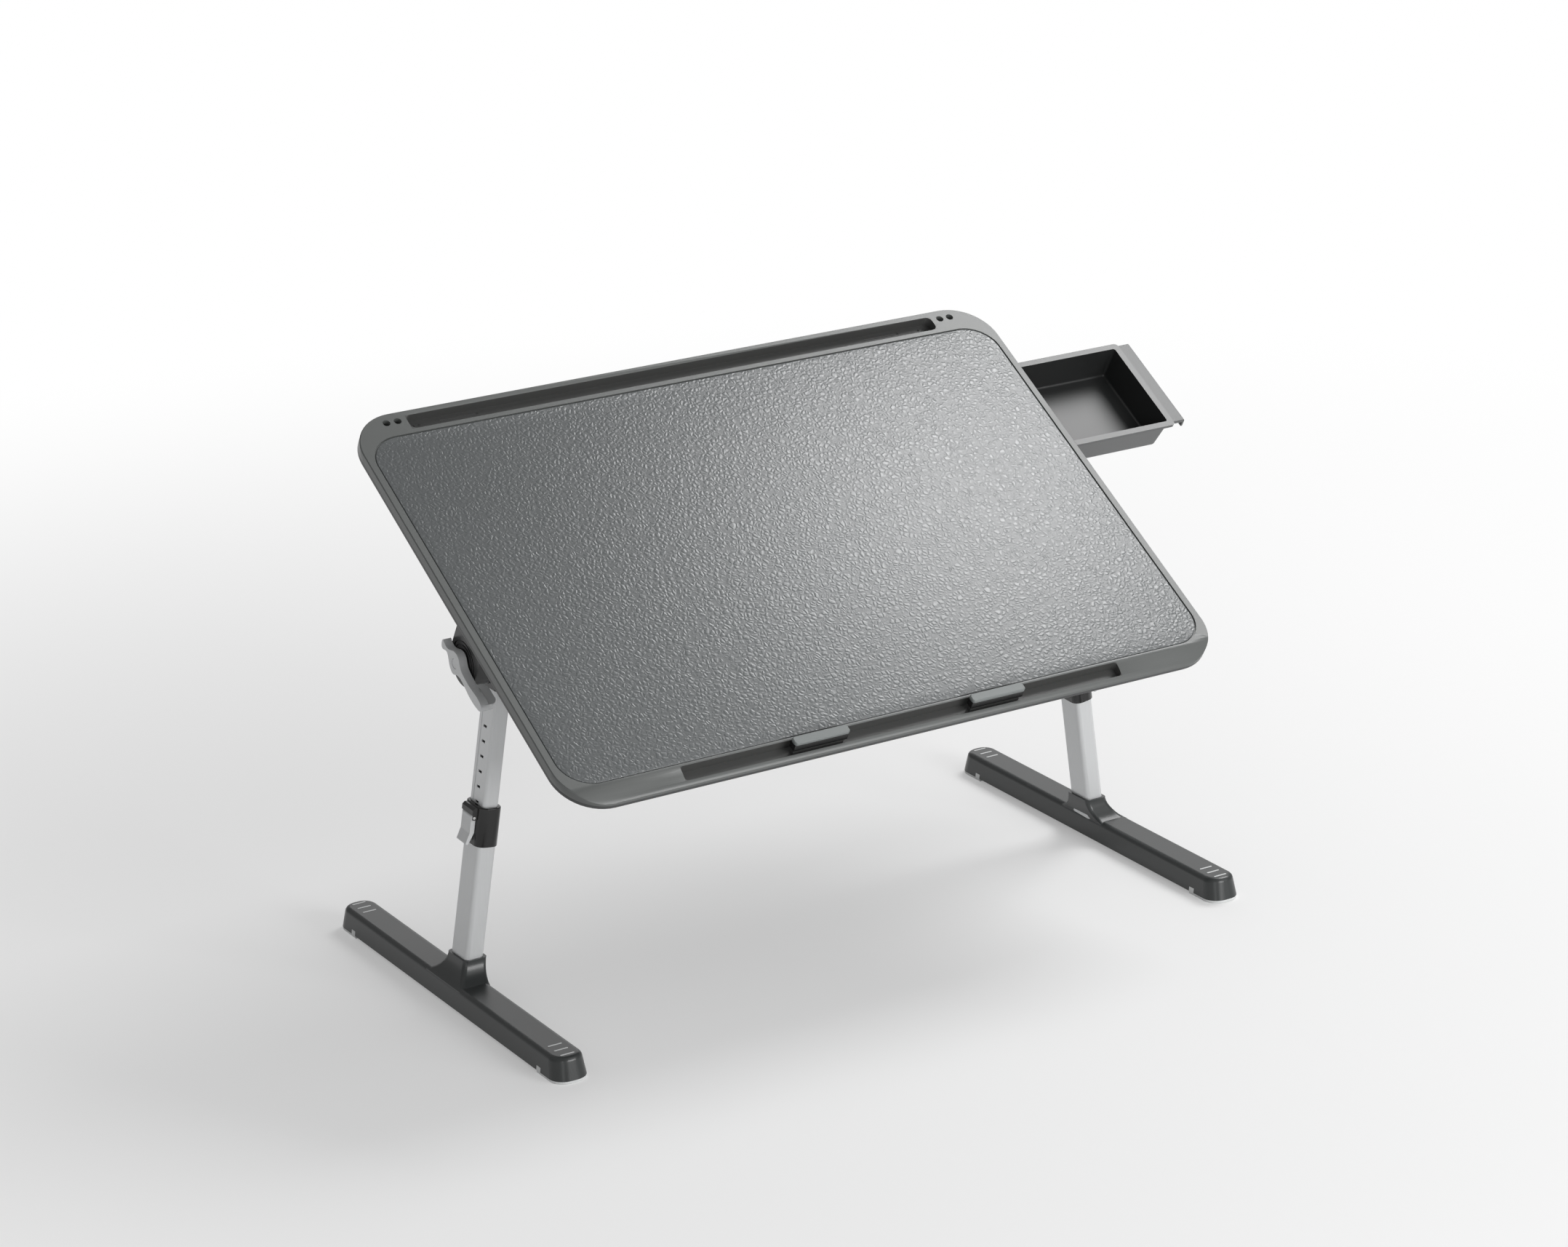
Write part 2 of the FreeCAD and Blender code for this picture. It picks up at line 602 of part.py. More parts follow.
def screw(u, v, seat_h):
    """Pan-head screw driven upwards; its head sits under seat_h."""
    head = rod_z(seat_h - SCREW_HEAD_THICK, seat_h, u, v, SCREW_HEAD_R)
    head = softened(head, SCREW_HEAD_THICK * 0.6, lambda p: p.z < seat_h - SCREW_HEAD_THICK + 0.01)
    socket = rod_z(seat_h - SCREW_HEAD_THICK - 1, seat_h - SCREW_HEAD_THICK * 0.3, u, v, SCREW_SOCKET_R)
    shank = rod_z(seat_h, -TOP_SKIN - 1, u, v, SCREW_SHANK_R)
    return head.fuse(shank).cut(socket).removeSplitter()


# ---------------------------------------------------------------- tilt and fold joints

def tilt_drum():
    drum = rod_x(DRUM_INNER_U, DRUM_OUTER_U, 0, 0, DRUM_R)
    return drum.cut(rod_x(DRUM_INNER_U, DRUM_OUTER_U, 0, 0, AXLE_R))


def tilt_axle():
    """Axle of drum and yoke; the lever's pin is pressed into its outer end."""
    end = HOOD_OUTER_U + LEVER_GAP / 3
    axle = rod_x(YOKE_OUTER_U - AXLE_IN_YOKE, end, 0, 0, AXLE_R)
    return axle.cut(rod_x(end - LEVER_PIN_DEPTH, end, 0, 0, LEVER_PIN_R))


def clutch_disc():
    disc = rod_x(CLUTCH_INNER_U, DRUM_INNER_U, 0, 0, DRUM_R - 1)
    return disc.cut(rod_x(CLUTCH_INNER_U, DRUM_INNER_U, 0, 0, AXLE_R))


def fold_yoke():
    """Disc in the hood with a tongue that reaches in to the fold rivet."""
    disc = rod_x(YOKE_INNER_U, YOKE_OUTER_U, 0, 0, DRUM_R)
    tongue = block(RIVET_X, YOKE_OUTER_U - AXLE_IN_YOKE, -TONGUE_HALF_WIDTH, TONGUE_HALF_WIDTH,
                   -TONGUE_HALF_HEIGHT, TONGUE_HALF_HEIGHT)
    eye = rod_y(-TONGUE_HALF_WIDTH, TONGUE_HALF_WIDTH, RIVET_X, 0, TONGUE_END_R)
    whole = joined([disc, tongue, eye])
    blind = rod_x(YOKE_OUTER_U - AXLE_IN_YOKE, YOKE_OUTER_U + 1, 0, 0, AXLE_R + RUNNING_FIT)
    return whole.cut([blind, rod_y(-TONGUE_HALF_WIDTH - 1, TONGUE_HALF_WIDTH + 1, RIVET_X, 0, RIVET_R)])


def fold_rivet():
    half = KNUCKLE_HALF_Y + MOVING_GAP
    shank = rod_y(-half, half, RIVET_X, 0, RIVET_R)
    head = rod_y(half, half + RIVET_HEAD_THICK, RIVET_X, 0, RIVET_HEAD_R)
    head = softened(head, RIVET_HEAD_THICK * 0.8, lambda p: p.y > half + RIVET_HEAD_THICK - 0.01)
    back = head.mirror(V(0, 0, 0), V(0, 1, 0))
    return joined([shank, head, back])


# ---------------------------------------------------------------- leg, drawn hanging from the rivet

def knuckle():
    """Forked block round the head of the inner tube."""
    top = rod_y(-KNUCKLE_HALF_Y, KNUCKLE_HALF_Y, 0, 0, KNUCKLE_HALF_X)
    low = block(-KNUCKLE_HALF_X, KNUCKLE_HALF_X, -KNUCKLE_HALF_Y, KNUCKLE_HALF_Y, -KNUCKLE_DROP, 0)
    low = softened(low, KNUCKLE_EDGE_R, lambda p: abs(p.x) > KNUCKLE_HALF_X - 0.01
                   and abs(p.y) > KNUCKLE_HALF_Y - 0.01)
    whole = joined([top, low])
    gap = TONGUE_HALF_WIDTH + MOVING_GAP
    slot_low = -TONGUE_END_R - MOVING_GAP * 3
    slot = block(-KNUCKLE_HALF_X - 1, KNUCKLE_HALF_X + 1, -gap, gap, slot_low, KNUCKLE_HALF_X + 1)
    hole = rod_y(-KNUCKLE_HALF_Y - 1, KNUCKLE_HALF_Y + 1, 0, 0, RIVET_R + RUNNING_FIT)
    tube = slab(INNER_TUBE_X, INNER_TUBE_Y, INNER_TUBE_R, -KNUCKLE_DROP - 1, -TUBE_IN_KNUCKLE)
    return whole.cut([slot, hole, tube])


def tube_section(width, depth, r, wall, top, bottom):
    outside = slab(width, depth, r, -bottom, -top)
    inside = slab(width - 2 * wall, depth - 2 * wall, max(r - wall, 0.5), -bottom - 1, -top + 1)
    return outside.cut(inside)


def inner_tube():
    """Upper tube, with a row of height notches down its outer face."""
    tube = tube_section(INNER_TUBE_X, INNER_TUBE_Y, INNER_TUBE_R, INNER_TUBE_WALL, TUBE_IN_KNUCKLE,
                        INNER_TUBE_END)
    face = INNER_TUBE_X / 2
    cuts = [block(face - TUBE_STRIP_DEPTH, face + 1, -TUBE_STRIP_WIDTH / 2, TUBE_STRIP_WIDTH / 2,
                  -INNER_TUBE_END - 1, -KNUCKLE_DROP - MOVING_GAP)]
    for i in range(NOTCH_COUNT):
        s = NOTCH_FIRST + i * NOTCH_PITCH
        notch = block(face - INNER_TUBE_WALL - 1, face + 1, -NOTCH_LENGTH / 2, NOTCH_LENGTH / 2,
                      -s - NOTCH_HEIGHT / 2, -s + NOTCH_HEIGHT / 2)
        cuts.append(notch)
    return tube.cut(cuts)


def outer_tube():
    return tube_section(OUTER_TUBE_X, OUTER_TUBE_Y, OUTER_TUBE_R, OUTER_TUBE_WALL, COLLAR_TOP + COLLAR_LIP,
                        OUTER_TUBE_END)


def collar():
    """Clamp collar at the mouth of the outer tube, with a hinge block and ears for the flip latch."""
    body = slab(2 * COLLAR_X, 2 * COLLAR_Y, COLLAR_R, -COLLAR_BOTTOM, -COLLAR_TOP)
    body = softened(body, 1.0, lambda p: abs(p.z + COLLAR_TOP) < 0.01)
    half = LATCH_WIDTH / 2 + MOVING_GAP
    face = COLLAR_X + MOVING_GAP + LATCH_THICK
    head = block(0, face, -half - LATCH_EAR, half + LATCH_EAR, -COLLAR_TOP - LATCH_TOP_INSET, -COLLAR_TOP - 1)
    head = bevelled(head, LATCH_THICK / 2, lambda p: p.x > face - 0.01 and p.z > -COLLAR_TOP - 1.01)
    reach = LATCH_PIVOT_S + LATCH_THICK / 2
    ears = block(0, face - LATCH_THICK / 4, -half - LATCH_EAR, half + LATCH_EAR, -reach, -COLLAR_TOP - LATCH_TOP_INSET / 2)
    ears = ears.cut(block(-1, face + 1, -half, half, -reach - 1, -COLLAR_TOP - LATCH_TOP_INSET))
    whole = joined([body, head, ears])
    bore = slab(OUTER_TUBE_X, OUTER_TUBE_Y, OUTER_TUBE_R, -COLLAR_BOTTOM - 1, -COLLAR_TOP - COLLAR_LIP)
    mouth = slab(INNER_TUBE_X + 2 * MOVING_GAP, INNER_TUBE_Y + 2 * MOVING_GAP, INNER_TUBE_R + MOVING_GAP,
                 -COLLAR_TOP - COLLAR_LIP - 1, -COLLAR_TOP + 1)
    pin = rod_y(-half - LATCH_EAR, half + LATCH_EAR, LATCH_PIVOT_X, -LATCH_PIVOT_S, LATCH_PIN_R)
    return whole.cut([bore, mouth, pin])


def latch():
    """Flap hinged at its head, its lower end kicked outwards as a finger grip."""
    half = LATCH_WIDTH / 2
    r = LATCH_THICK / 2
    inner = LATCH_PIVOT_X - r
    outer = LATCH_PIVOT_X + r
    end = -LATCH_PIVOT_S - LATCH_LENGTH
    bend = end + LATCH_KICK_LENGTH
    tip = outer + LATCH_KICK
    flap = prism_y([(inner, -LATCH_PIVOT_S), (outer, -LATCH_PIVOT_S), (outer, bend), (tip, end),
                    (tip - LATCH_TIP_THICK, end), (inner, bend)], -half, half)
    flap = softened(flap, 1.2, lambda p: p.x > tip - 0.01)
    root = rod_y(-half, half, LATCH_PIVOT_X, -LATCH_PIVOT_S, r)
    hole = rod_y(-half - 1, half + 1, LATCH_PIVOT_X, -LATCH_PIVOT_S, LATCH_PIN_R + RUNNING_FIT)
    return joined([flap, root]).cut(hole)


def latch_pin():
    half = LATCH_WIDTH / 2 + MOVING_GAP + LATCH_EAR
    return rod_y(-half, half, LATCH_PIVOT_X, -LATCH_PIVOT_S, LATCH_PIN_R)


# ---------------------------------------------------------------- foot, drawn in place

def bar_body(grow, low):
    """Foot bar from height low up: long block with slanted round ends and soft upper edges."""
    top = FOOT_HEIGHT + grow
    base = round_rect(FOOT_WIDTH + 2 * grow, FOOT_LENGTH + 2 * grow, FOOT_END_R, low, FOOT_X, 0)
    crown = round_rect(FOOT_TOP_WIDTH + 2 * grow, FOOT_LENGTH - 2 * FOOT_END_SLANT + 2 * grow,
                       FOOT_END_R - 1, top, FOOT_X, 0)
    bar = frustum(base, crown)
    return softened(bar, FOOT_EDGE_R, lambda p: abs(p.z - top) < 0.01)


def leg_line(height):
    """Where the leg's middle line is at a height: its x and its y."""
    fall = HINGE_Z - height
    return RIVET_X + fall * math.tan(LEAN) / math.cos(PITCH), HINGE_Y + fall * math.tan(PITCH)


def socket_section(height, flare):
    """Section of the leg socket: round the tube at flare 0, as wide as the bar and run out at flare 1."""
    tube_x, tube_y = leg_line(height)
    slim = OUTER_TUBE_X / math.cos(LEAN) + 2 * SOCKET_WALL
    width = slim + (FOOT_TOP_WIDTH - slim) * flare
    depth = OUTER_TUBE_Y + 2 * SOCKET_WALL + 2 * SOCKET_RUNOUT * flare
    return round_rect(width, depth, OUTER_TUBE_R, height, tube_x + (FOOT_X - tube_x) * flare, tube_y)


def foot_bar():
    """Floor bar with a flared socket that holds the leg."""
    base = FOOT_HEIGHT - FOOT_EDGE_R / 3
    drop = SOCKET_TOP_Z - base
    steps = [(SOCKET_TOP_Z - drop * down, flare) for down, flare in SOCKET_SHAPE]
    socket = Part.makeLoft([socket_section(z, flare) for z, flare in steps], True, False)
    root = Part.Face(socket_section(base - SOCKET_SINK, 1.0)).extrude(V(0, 0, SOCKET_SINK))
    whole = joined([bar_body(0.0, PAD_STRIP_THICK), socket, root])
    tube = slab(OUTER_TUBE_X, OUTER_TUBE_Y, OUTER_TUBE_R, -OUTER_TUBE_END, -SOCKET_TOP + SOCKET_DEPTH)
    whole = whole.cut([on_leg(tube)] + [inlay(y) for y in inlay_spots()])
    return whole.cut([pad_tabs(side, 1.0) for side in (-1, 1)])


def inlay_spots():
    first = FOOT_LENGTH / 2 - FOOT_END_SLANT - INLAY_END_MARGIN
    spots = [first - i * INLAY_PITCH for i in range(INLAY_COUNT)]
    return spots + [-y for y in spots]


def inlay(y):
    return slab(INLAY_LENGTH, INLAY_WIDTH, INLAY_WIDTH / 2, FOOT_HEIGHT - INLAY_DEPTH, FOOT_HEIGHT + INLAY_PROUD,
                FOOT_X, y)


def foot_inlays():
    return Part.makeCompound([inlay(y) for y in inlay_spots()])


def pad_tabs(side, grow):
    """Ears of one sole pad, one on each flank of the bar, at the pad's inner end."""
    reach = FOOT_LENGTH / 2 - PAD_STRIP_LENGTH
    near = reach if side > 0 else -reach - PAD_TAB_LENGTH
    corner = V(FOOT_X - FOOT_WIDTH, near, PAD_STRIP_THICK)
    band = Part.makeBox(2 * FOOT_WIDTH, PAD_TAB_LENGTH, PAD_TAB_HEIGHT, corner)
    return bar_body(grow, PAD_STRIP_THICK).common(band).cut(bar_body(-PAD_TAB_SINK, PAD_STRIP_THICK))


def foot_pads():
    """Anti-slip pad under each end of the bar, with an ear up each flank."""
    pads = []
    for side in (-1, 1):
        outline = round_rect(FOOT_WIDTH - 2 * PAD_STRIP_INSET, FOOT_LENGTH - 2 * PAD_STRIP_INSET,
                             FOOT_END_R - PAD_STRIP_INSET, 0, FOOT_X, 0)
        sole = Part.Face(outline).extrude(V(0, 0, PAD_STRIP_THICK))
        sole = bevelled(sole, PAD_STRIP_EDGE, lambda p: p.z < 0.01)
        reach = FOOT_LENGTH / 2 - PAD_STRIP_LENGTH
        half = Part.makeBox(FOOT_WIDTH, PAD_STRIP_LENGTH, PAD_STRIP_THICK,
                            V(FOOT_X - FOOT_WIDTH / 2, reach if side > 0 else -FOOT_LENGTH / 2, 0))
        pads.append(joined([sole.common(half), pad_tabs(side, PAD_TAB_PROUD)]))
    return Part.makeCompound(pads)


# ---------------------------------------------------------------- lock lever

def lock_lever():
    """Curved lever on the tilt axis beside the hood: tip, round hub, bar and a handle that reaches inwards."""
    u0 = LEVER_INNER_U
    u1 = LEVER_OUTER_U
    points = [V(u0, HINGE_V + a * LEVER_HUB_R, HINGE_H + b * LEVER_HUB_R) for a, b in LEVER_SHAPE]
    curve = Part.BSplineCurve()
    curve.interpolate(Points=points, PeriodicFlag=True)
    arm = Part.Face(Part.Wire(curve.toShape())).extrude(V(LEVER_THICK, 0, 0))
    end_v = HINGE_V + min(a for a, b in LEVER_SHAPE) * LEVER_HUB_R + LEVER_HANDLE_INSET
    handle = block(u0 - LEVER_HANDLE_DEPTH, u0 + LEVER_THICK / 2, end_v, end_v + LEVER_HANDLE_LENGTH,
                   HINGE_H - LEVER_HUB_R * 0.46, HINGE_H + LEVER_HUB_R * 0.24)
    handle = softened(handle, LEVER_HANDLE_R, lambda p: p.x < u0 - LEVER_HANDLE_DEPTH + 0.01
                      and min(abs(p.y - end_v), abs(p.y - end_v - LEVER_HANDLE_LENGTH)) < 0.01)
    whole = joined([arm, handle])
    bore = rod_x(u0 - 1, u1, HINGE_V, HINGE_H, LEVER_PIN_R + RUNNING_FIT)
    under_head = u1 - LEVER_PIN_SINK - LEVER_PIN_HEAD_THICK - RUNNING_FIT
    return whole.cut([bore, rod_x(under_head, u1 + 1, HINGE_V, HINGE_H, LEVER_RECESS_R)])


def lever_pin():
    """Headed pin in the axle's outer end, on which the lever turns."""
    face = LEVER_OUTER_U - LEVER_PIN_SINK
    start = HOOD_OUTER_U + LEVER_GAP / 3 - LEVER_PIN_DEPTH
    shank = rod_x(start, face - LEVER_PIN_HEAD_THICK, 0, 0, LEVER_PIN_R)
    head = rod_x(face - LEVER_PIN_HEAD_THICK, face, 0, 0, LEVER_PIN_HEAD_R)
    return joined([shank, head])


# ---------------------------------------------------------------- drawer

def drawer_housing():
    """Open-ended box hung under the right rear of the desk, closed above by the cover."""
    length = HOUSING_OUTER_U - HOUSING_INNER_U
    width = HOUSING_REAR_V - HOUSING_FRONT_V
    mid_u = (HOUSING_INNER_U + HOUSING_OUTER_U) / 2
    tail = HOUSING_CORNER_R + 1
    tub = slab(length + tail, width, HOUSING_CORNER_R, HOUSING_BOTTOM_H, UNDER_H, mid_u + tail / 2, DRAWER_V)
    tub = softened(tub, HOUSING_EDGE_R, lambda p: abs(p.z - HOUSING_BOTTOM_H) < 0.01)
    flange = slab(length + tail + FLANGE_WIDTH, width + 2 * FLANGE_WIDTH, HOUSING_CORNER_R,
                  UNDER_H - FLANGE_THICK, UNDER_H, mid_u + (tail - FLANGE_WIDTH) / 2, DRAWER_V)
    tub = joined([tub, flange])
    tub = tub.cut(block(HOUSING_OUTER_U, HOUSING_OUTER_U + 2 * tail, HOUSING_FRONT_V - 2 * FLANGE_WIDTH,
                        HOUSING_REAR_V + 2 * FLANGE_WIDTH, HOUSING_BOTTOM_H - 1, UNDER_H + 1))
    room = slab(length + tail, width - 2 * HOUSING_WALL, HOUSING_CORNER_R - HOUSING_WALL,
                HOUSING_BOTTOM_H + HOUSING_WALL, UNDER_H + 1, mid_u + HOUSING_WALL + tail / 2, DRAWER_V)
    room = softened(room, HOUSING_EDGE_R - HOUSING_WALL,
                    lambda p: abs(p.z - HOUSING_BOTTOM_H - HOUSING_WALL) < 0.01)
    holes = [rod_z(UNDER_H - 2 * FLANGE_THICK, UNDER_H + 1, u, v, SCREW_SHANK_R) for u, v in housing_screw_spots()]
    return tub.cut([room] + holes)


def drawer_rails():
    """Two channel rails on the housing walls; the drawer's rim slides in them."""
    rails = []
    for side in (-1, 1):
        wall = DRAWER_WIDTH / 2 + DRAWER_SIDE_GAP
        inner = DRAWER_WIDTH / 2 - RAIL_LEDGE
        top = UNDER_H
        low = DRAWER_RIM_H - DRAWER_RIM_THICK - MOVING_GAP
        u0 = HOUSING_INNER_U + HOUSING_CORNER_R + HOUSING_WALL
        u1 = HOUSING_OUTER_U - RAIL_SETBACK
        back = block(u0, u1, DRAWER_WIDTH / 2 + MOVING_GAP, wall, low, top)
        ledge = block(u0, u1, inner, wall, low - RAIL_THICK, low)
        guide = block(u0, u1, inner, wall, DRAWER_RIM_H + MOVING_GAP, top)
        rail = joined([back, ledge, guide])
        if side < 0:
            rail = rail.mirror(V(0, 0, 0), V(0, 1, 0))
        rail.translate(V(0, DRAWER_V, 0))
        rails.append(rail)
    return Part.makeCompound(rails)


def housing_catch():
    """Small clip block on the front wall of the housing."""
    u1 = HOUSING_OUTER_U - HOUSING_CORNER_R - CATCH_LENGTH
    body = block(u1, u1 + CATCH_LENGTH, HOUSING_FRONT_V - CATCH_DEPTH, HOUSING_FRONT_V,
                 UNDER_H - CATCH_DROP - CATCH_HEIGHT, UNDER_H - CATCH_DROP)
    return softened(body, 1.0, lambda p: p.y < HOUSING_FRONT_V - CATCH_DEPTH + 0.01)


def drawer_tray():
    """Drawer body with drafted walls and a flat rim that runs in the rails."""
    mid_u = (DRAWER_BACK_U + DRAWER_END_U) / 2
    rim = slab(DRAWER_LENGTH, DRAWER_WIDTH, DRAWER_CORNER_R, DRAWER_RIM_H - DRAWER_RIM_THICK, DRAWER_RIM_H,
               mid_u, DRAWER_V)
    wall_out = DRAWER_RIM_WIDTH - DRAWER_WALL
    outer_top = round_rect(DRAWER_LENGTH - 2 * wall_out, DRAWER_WIDTH - 2 * wall_out, DRAWER_CORNER_R,
                           DRAWER_RIM_H - DRAWER_RIM_THICK, mid_u, DRAWER_V)
    outer_low = round_rect(DRAWER_LENGTH - 2 * (wall_out + DRAWER_DRAFT),
                           DRAWER_WIDTH - 2 * (wall_out + DRAWER_DRAFT), DRAWER_CORNER_R, DRAWER_BOTTOM_H,
                           mid_u, DRAWER_V)
    tub = softened(frustum(outer_top, outer_low), DRAWER_EDGE_R, lambda p: abs(p.z - DRAWER_BOTTOM_H) < 0.01)
    inner_top = round_rect(DRAWER_LENGTH - 2 * DRAWER_RIM_WIDTH, DRAWER_WIDTH - 2 * DRAWER_RIM_WIDTH,
                           DRAWER_CORNER_R - DRAWER_WALL, DRAWER_RIM_H + 0.01, mid_u, DRAWER_V)
    inset = DRAWER_RIM_WIDTH + DRAWER_DRAFT
    inner_low = round_rect(DRAWER_LENGTH - 2 * inset, DRAWER_WIDTH - 2 * inset, DRAWER_CORNER_R - DRAWER_WALL,
                           DRAWER_BOTTOM_H + DRAWER_WALL, mid_u, DRAWER_V)
    room = softened(frustum(inner_top, inner_low), DRAWER_ROOM_R,
                    lambda p: abs(p.z - DRAWER_BOTTOM_H - DRAWER_WALL) < 0.01)
    return joined([rim, tub]).cut(room)


def drawer_pull():
    """Finger lip along the drawer's outer end, turned down at its edge."""
    width = DRAWER_WIDTH - 2 * PULL_INSET
    u0 = DRAWER_END_U
    u1 = u0 + PULL_LENGTH
    top = DRAWER_RIM_H
    lip = block(u0, u1, DRAWER_V - width / 2, DRAWER_V + width / 2, top - PULL_THICK, top)
    hook = block(u1 - PULL_THICK, u1, DRAWER_V - width / 2, DRAWER_V + width / 2, top - PULL_HOOK, top)
    whole = joined([lip, hook])
    whole = softened(whole, PULL_CORNER_R, lambda p: p.x > u1 - 0.01 and abs(p.y - DRAWER_V) > width / 2 - 0.01)
    return softened(whole, 1.2, lambda p: abs(p.z - top) < 0.01 and p.x > u0 + 0.01)


# ---------------------------------------------------------------- write every piece

keep(on_desk(desktop_frame()), "desktop_frame")
keep(on_desk(underside_cover()), "underside_cover")
keep(on_desk(leather_pad()), "leather_pad")
for spot, name in zip(stop_spots(), ("left", "right")):
    cap, body = page_stop(spot)
    keep(on_desk(cap), "stop_cap_" + name)
    keep(on_desk(body), "stop_body_" + name)
keep_pair(on_desk(bracket()), "bracket")
keep_pair(Part.makeCompound([on_desk(screw(u, v, PLATE_H)) for u, v in screw_spots()]), "bracket_screws")
keep_pair(on_axis(tilt_drum()), "tilt_drum")
keep_pair(on_axis(tilt_axle()), "tilt_axle")
keep_pair(on_axis(clutch_disc()), "clutch_disc")
keep_pair(on_axis(fold_yoke()), "fold_yoke")
keep_pair(on_axis(fold_rivet()), "fold_rivet")
keep_pair(on_leg(knuckle()), "leg_knuckle")
keep_pair(on_leg(inner_tube()), "inner_tube")
keep_pair(on_leg(outer_tube()), "outer_tube")
keep_pair(on_leg(collar()), "height_collar")
keep_pair(on_leg(latch()), "height_latch")
keep_pair(on_leg(latch_pin()), "latch_pin")
keep_pair(foot_bar(), "foot_bar")
keep_pair(foot_pads(), "foot_pads")
keep_pair(foot_inlays(), "foot_inlays")
keep_pair(on_desk(lock_lever()), "lock_lever")
keep_pair(on_axis(lever_pin()), "lever_pin")
keep(on_desk(drawer_housing()), "drawer_housing")
keep(on_desk(drawer_rails()), "drawer_rails")
keep(on_desk(housing_catch()), "housing_catch")
keep(on_desk(Part.makeCompound([screw(u, v, UNDER_H - FLANGE_THICK) for u, v in housing_screw_spots()])),
     "housing_screws")
keep(on_desk(drawer_tray()), "drawer_tray")
keep(on_desk(drawer_pull()), "drawer_pull")
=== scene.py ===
import bmesh
import bpy
import math
from bpy.props import FloatProperty, FloatVectorProperty, IntProperty, PointerProperty
from mathutils import Matrix, Vector


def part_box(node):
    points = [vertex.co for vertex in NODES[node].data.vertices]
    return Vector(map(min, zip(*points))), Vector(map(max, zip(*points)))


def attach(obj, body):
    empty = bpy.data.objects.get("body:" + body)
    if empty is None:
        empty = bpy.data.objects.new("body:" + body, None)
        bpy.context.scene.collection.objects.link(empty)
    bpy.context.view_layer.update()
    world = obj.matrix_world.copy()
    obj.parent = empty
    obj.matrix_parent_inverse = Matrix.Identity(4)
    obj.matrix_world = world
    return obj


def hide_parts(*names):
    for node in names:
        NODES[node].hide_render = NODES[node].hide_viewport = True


bl_info = {
    "name": "Laptop stand with drawer",
    "version": (1, 0, 0),
    "blender": (4, 5, 0),
    "location": "3D View > Sidebar > Stand",
    "description": "Builds the finishes, the leather mat and the studio of a folding laptop stand",
    "category": "Add Mesh",
}

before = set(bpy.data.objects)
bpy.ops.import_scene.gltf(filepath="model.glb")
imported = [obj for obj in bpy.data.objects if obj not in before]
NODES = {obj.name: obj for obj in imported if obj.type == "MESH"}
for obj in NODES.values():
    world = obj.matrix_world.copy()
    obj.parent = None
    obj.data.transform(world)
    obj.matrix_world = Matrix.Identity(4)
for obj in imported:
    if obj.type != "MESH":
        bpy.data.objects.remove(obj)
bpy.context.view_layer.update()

# The desk's hinge in the world, and in the desk's own flat panel frame. That frame has X right, Y back
# and Z up from the middle of the desk's top.
TILT = math.radians(30.8)
HINGE_Y, HINGE_Z = -0.011, 0.3296
HINGE_V, HINGE_H = -0.024, -0.046

# Front slot and rear tray in the panel frame: half length, middle, half width.
TROUGHS = ((0.2347, -0.23025, 0.0069), (0.2907, 0.22665, 0.0088))

# The mat in the panel frame, with its heights from the desk's top.
MAT_WIDTH, MAT_DEPTH, MAT_RADIUS = 0.6838, 0.4318, 0.0311
MAT_TOP, MAT_LOW = -0.0004, -0.0015
MAT_MIDDLE_V = -0.0038
MAT_BUMP = 0.9
RIM_SEGMENTS = 3
RIM_LIFT = 0.5  # how far the upward parts of two faces differ where they meet at the upper edge

# Bevels that take the sharpness off the CAD pieces.
SOFT_EDGE = 0.0004
LEVER_EDGE = 0.0015
EASED_SEGMENTS = 2
EASED_ANGLE = math.radians(40)
WELD_REACH = 0.000005
SMOOTH_ANGLE = math.radians(30)

# Relief of the moulded grain and of the lacquer, and how many grains go to a metre.
GRAIN_DEPTH = 0.0001
FINE_GRAIN = 2200.0
FOOT_GRAIN = 1800.0

# Swing of the tone in each group, and the share of the plastic's drift that its gloss takes.
SPECK_TONE, LEATHER_TONE, STREAK_TONE = 0.10, 0.10, 0.08
GLOSS_SHARE = 0.6

# Leather. Distances count in pebbles, and heights in shares of the relief.
PEBBLE_BEND = 1.2
CREASE_REACH = 0.38
PEBBLE_SHARE, SWELL_SHARE = 0.8, 0.7
CREASE_ROUGHNESS, PEBBLE_POLISH = 0.42, 0.10

# Streaks of the lacquer to a metre, across and along the piece.
STREAKS = (900.0, 900.0, 12.0)

# Soft boxes: where each hangs, what it looks at, and its width and height.
SOFT_BOXES = {
    "key": ((1.7, -2.7, 2.9), (0.0, 0.0, 0.3), (2.6, 2.2)),
    "sheen": ((1.8, 0.40, 2.30), (0.3, 0.0, 0.35), (1.3, 1.1)),
    "rear": ((2.0, 3.3, 1.5), (0.0, 0.0, 0.1), (2.6, 1.6)),
    "front": ((0.9, -3.0, 0.9), (0.0, 0.0, 0.2), (1.6, 1.0)),
    "fill": ((-2.4, -3.8, 1.1), (0.0, 0.0, 0.2), (1.0, 1.6)),
}

# The floor's glow grows between these distances from the middle, from its least share to a full one.
FLOOR_SIZE = 30.0
GLOW_FROM, GLOW_TO, GLOW_LEAST = 0.5, 2.2, 0.3

SENSOR_WIDTH = 36.0
VIEW_REACH = 100.0


# ------------------------------------------------------------------ sizes and colours

def colour(name, about, value):
    return FloatVectorProperty(name=name, description=about, subtype="COLOR", size=3, min=0.0, max=1.0,
                               default=value)


def length(name, about, value):
    return FloatProperty(name=name, description=about, default=value, unit="LENGTH")


def power(name, about, value):
    return FloatProperty(name=name, description="Power of the " + about, default=value, unit="POWER")


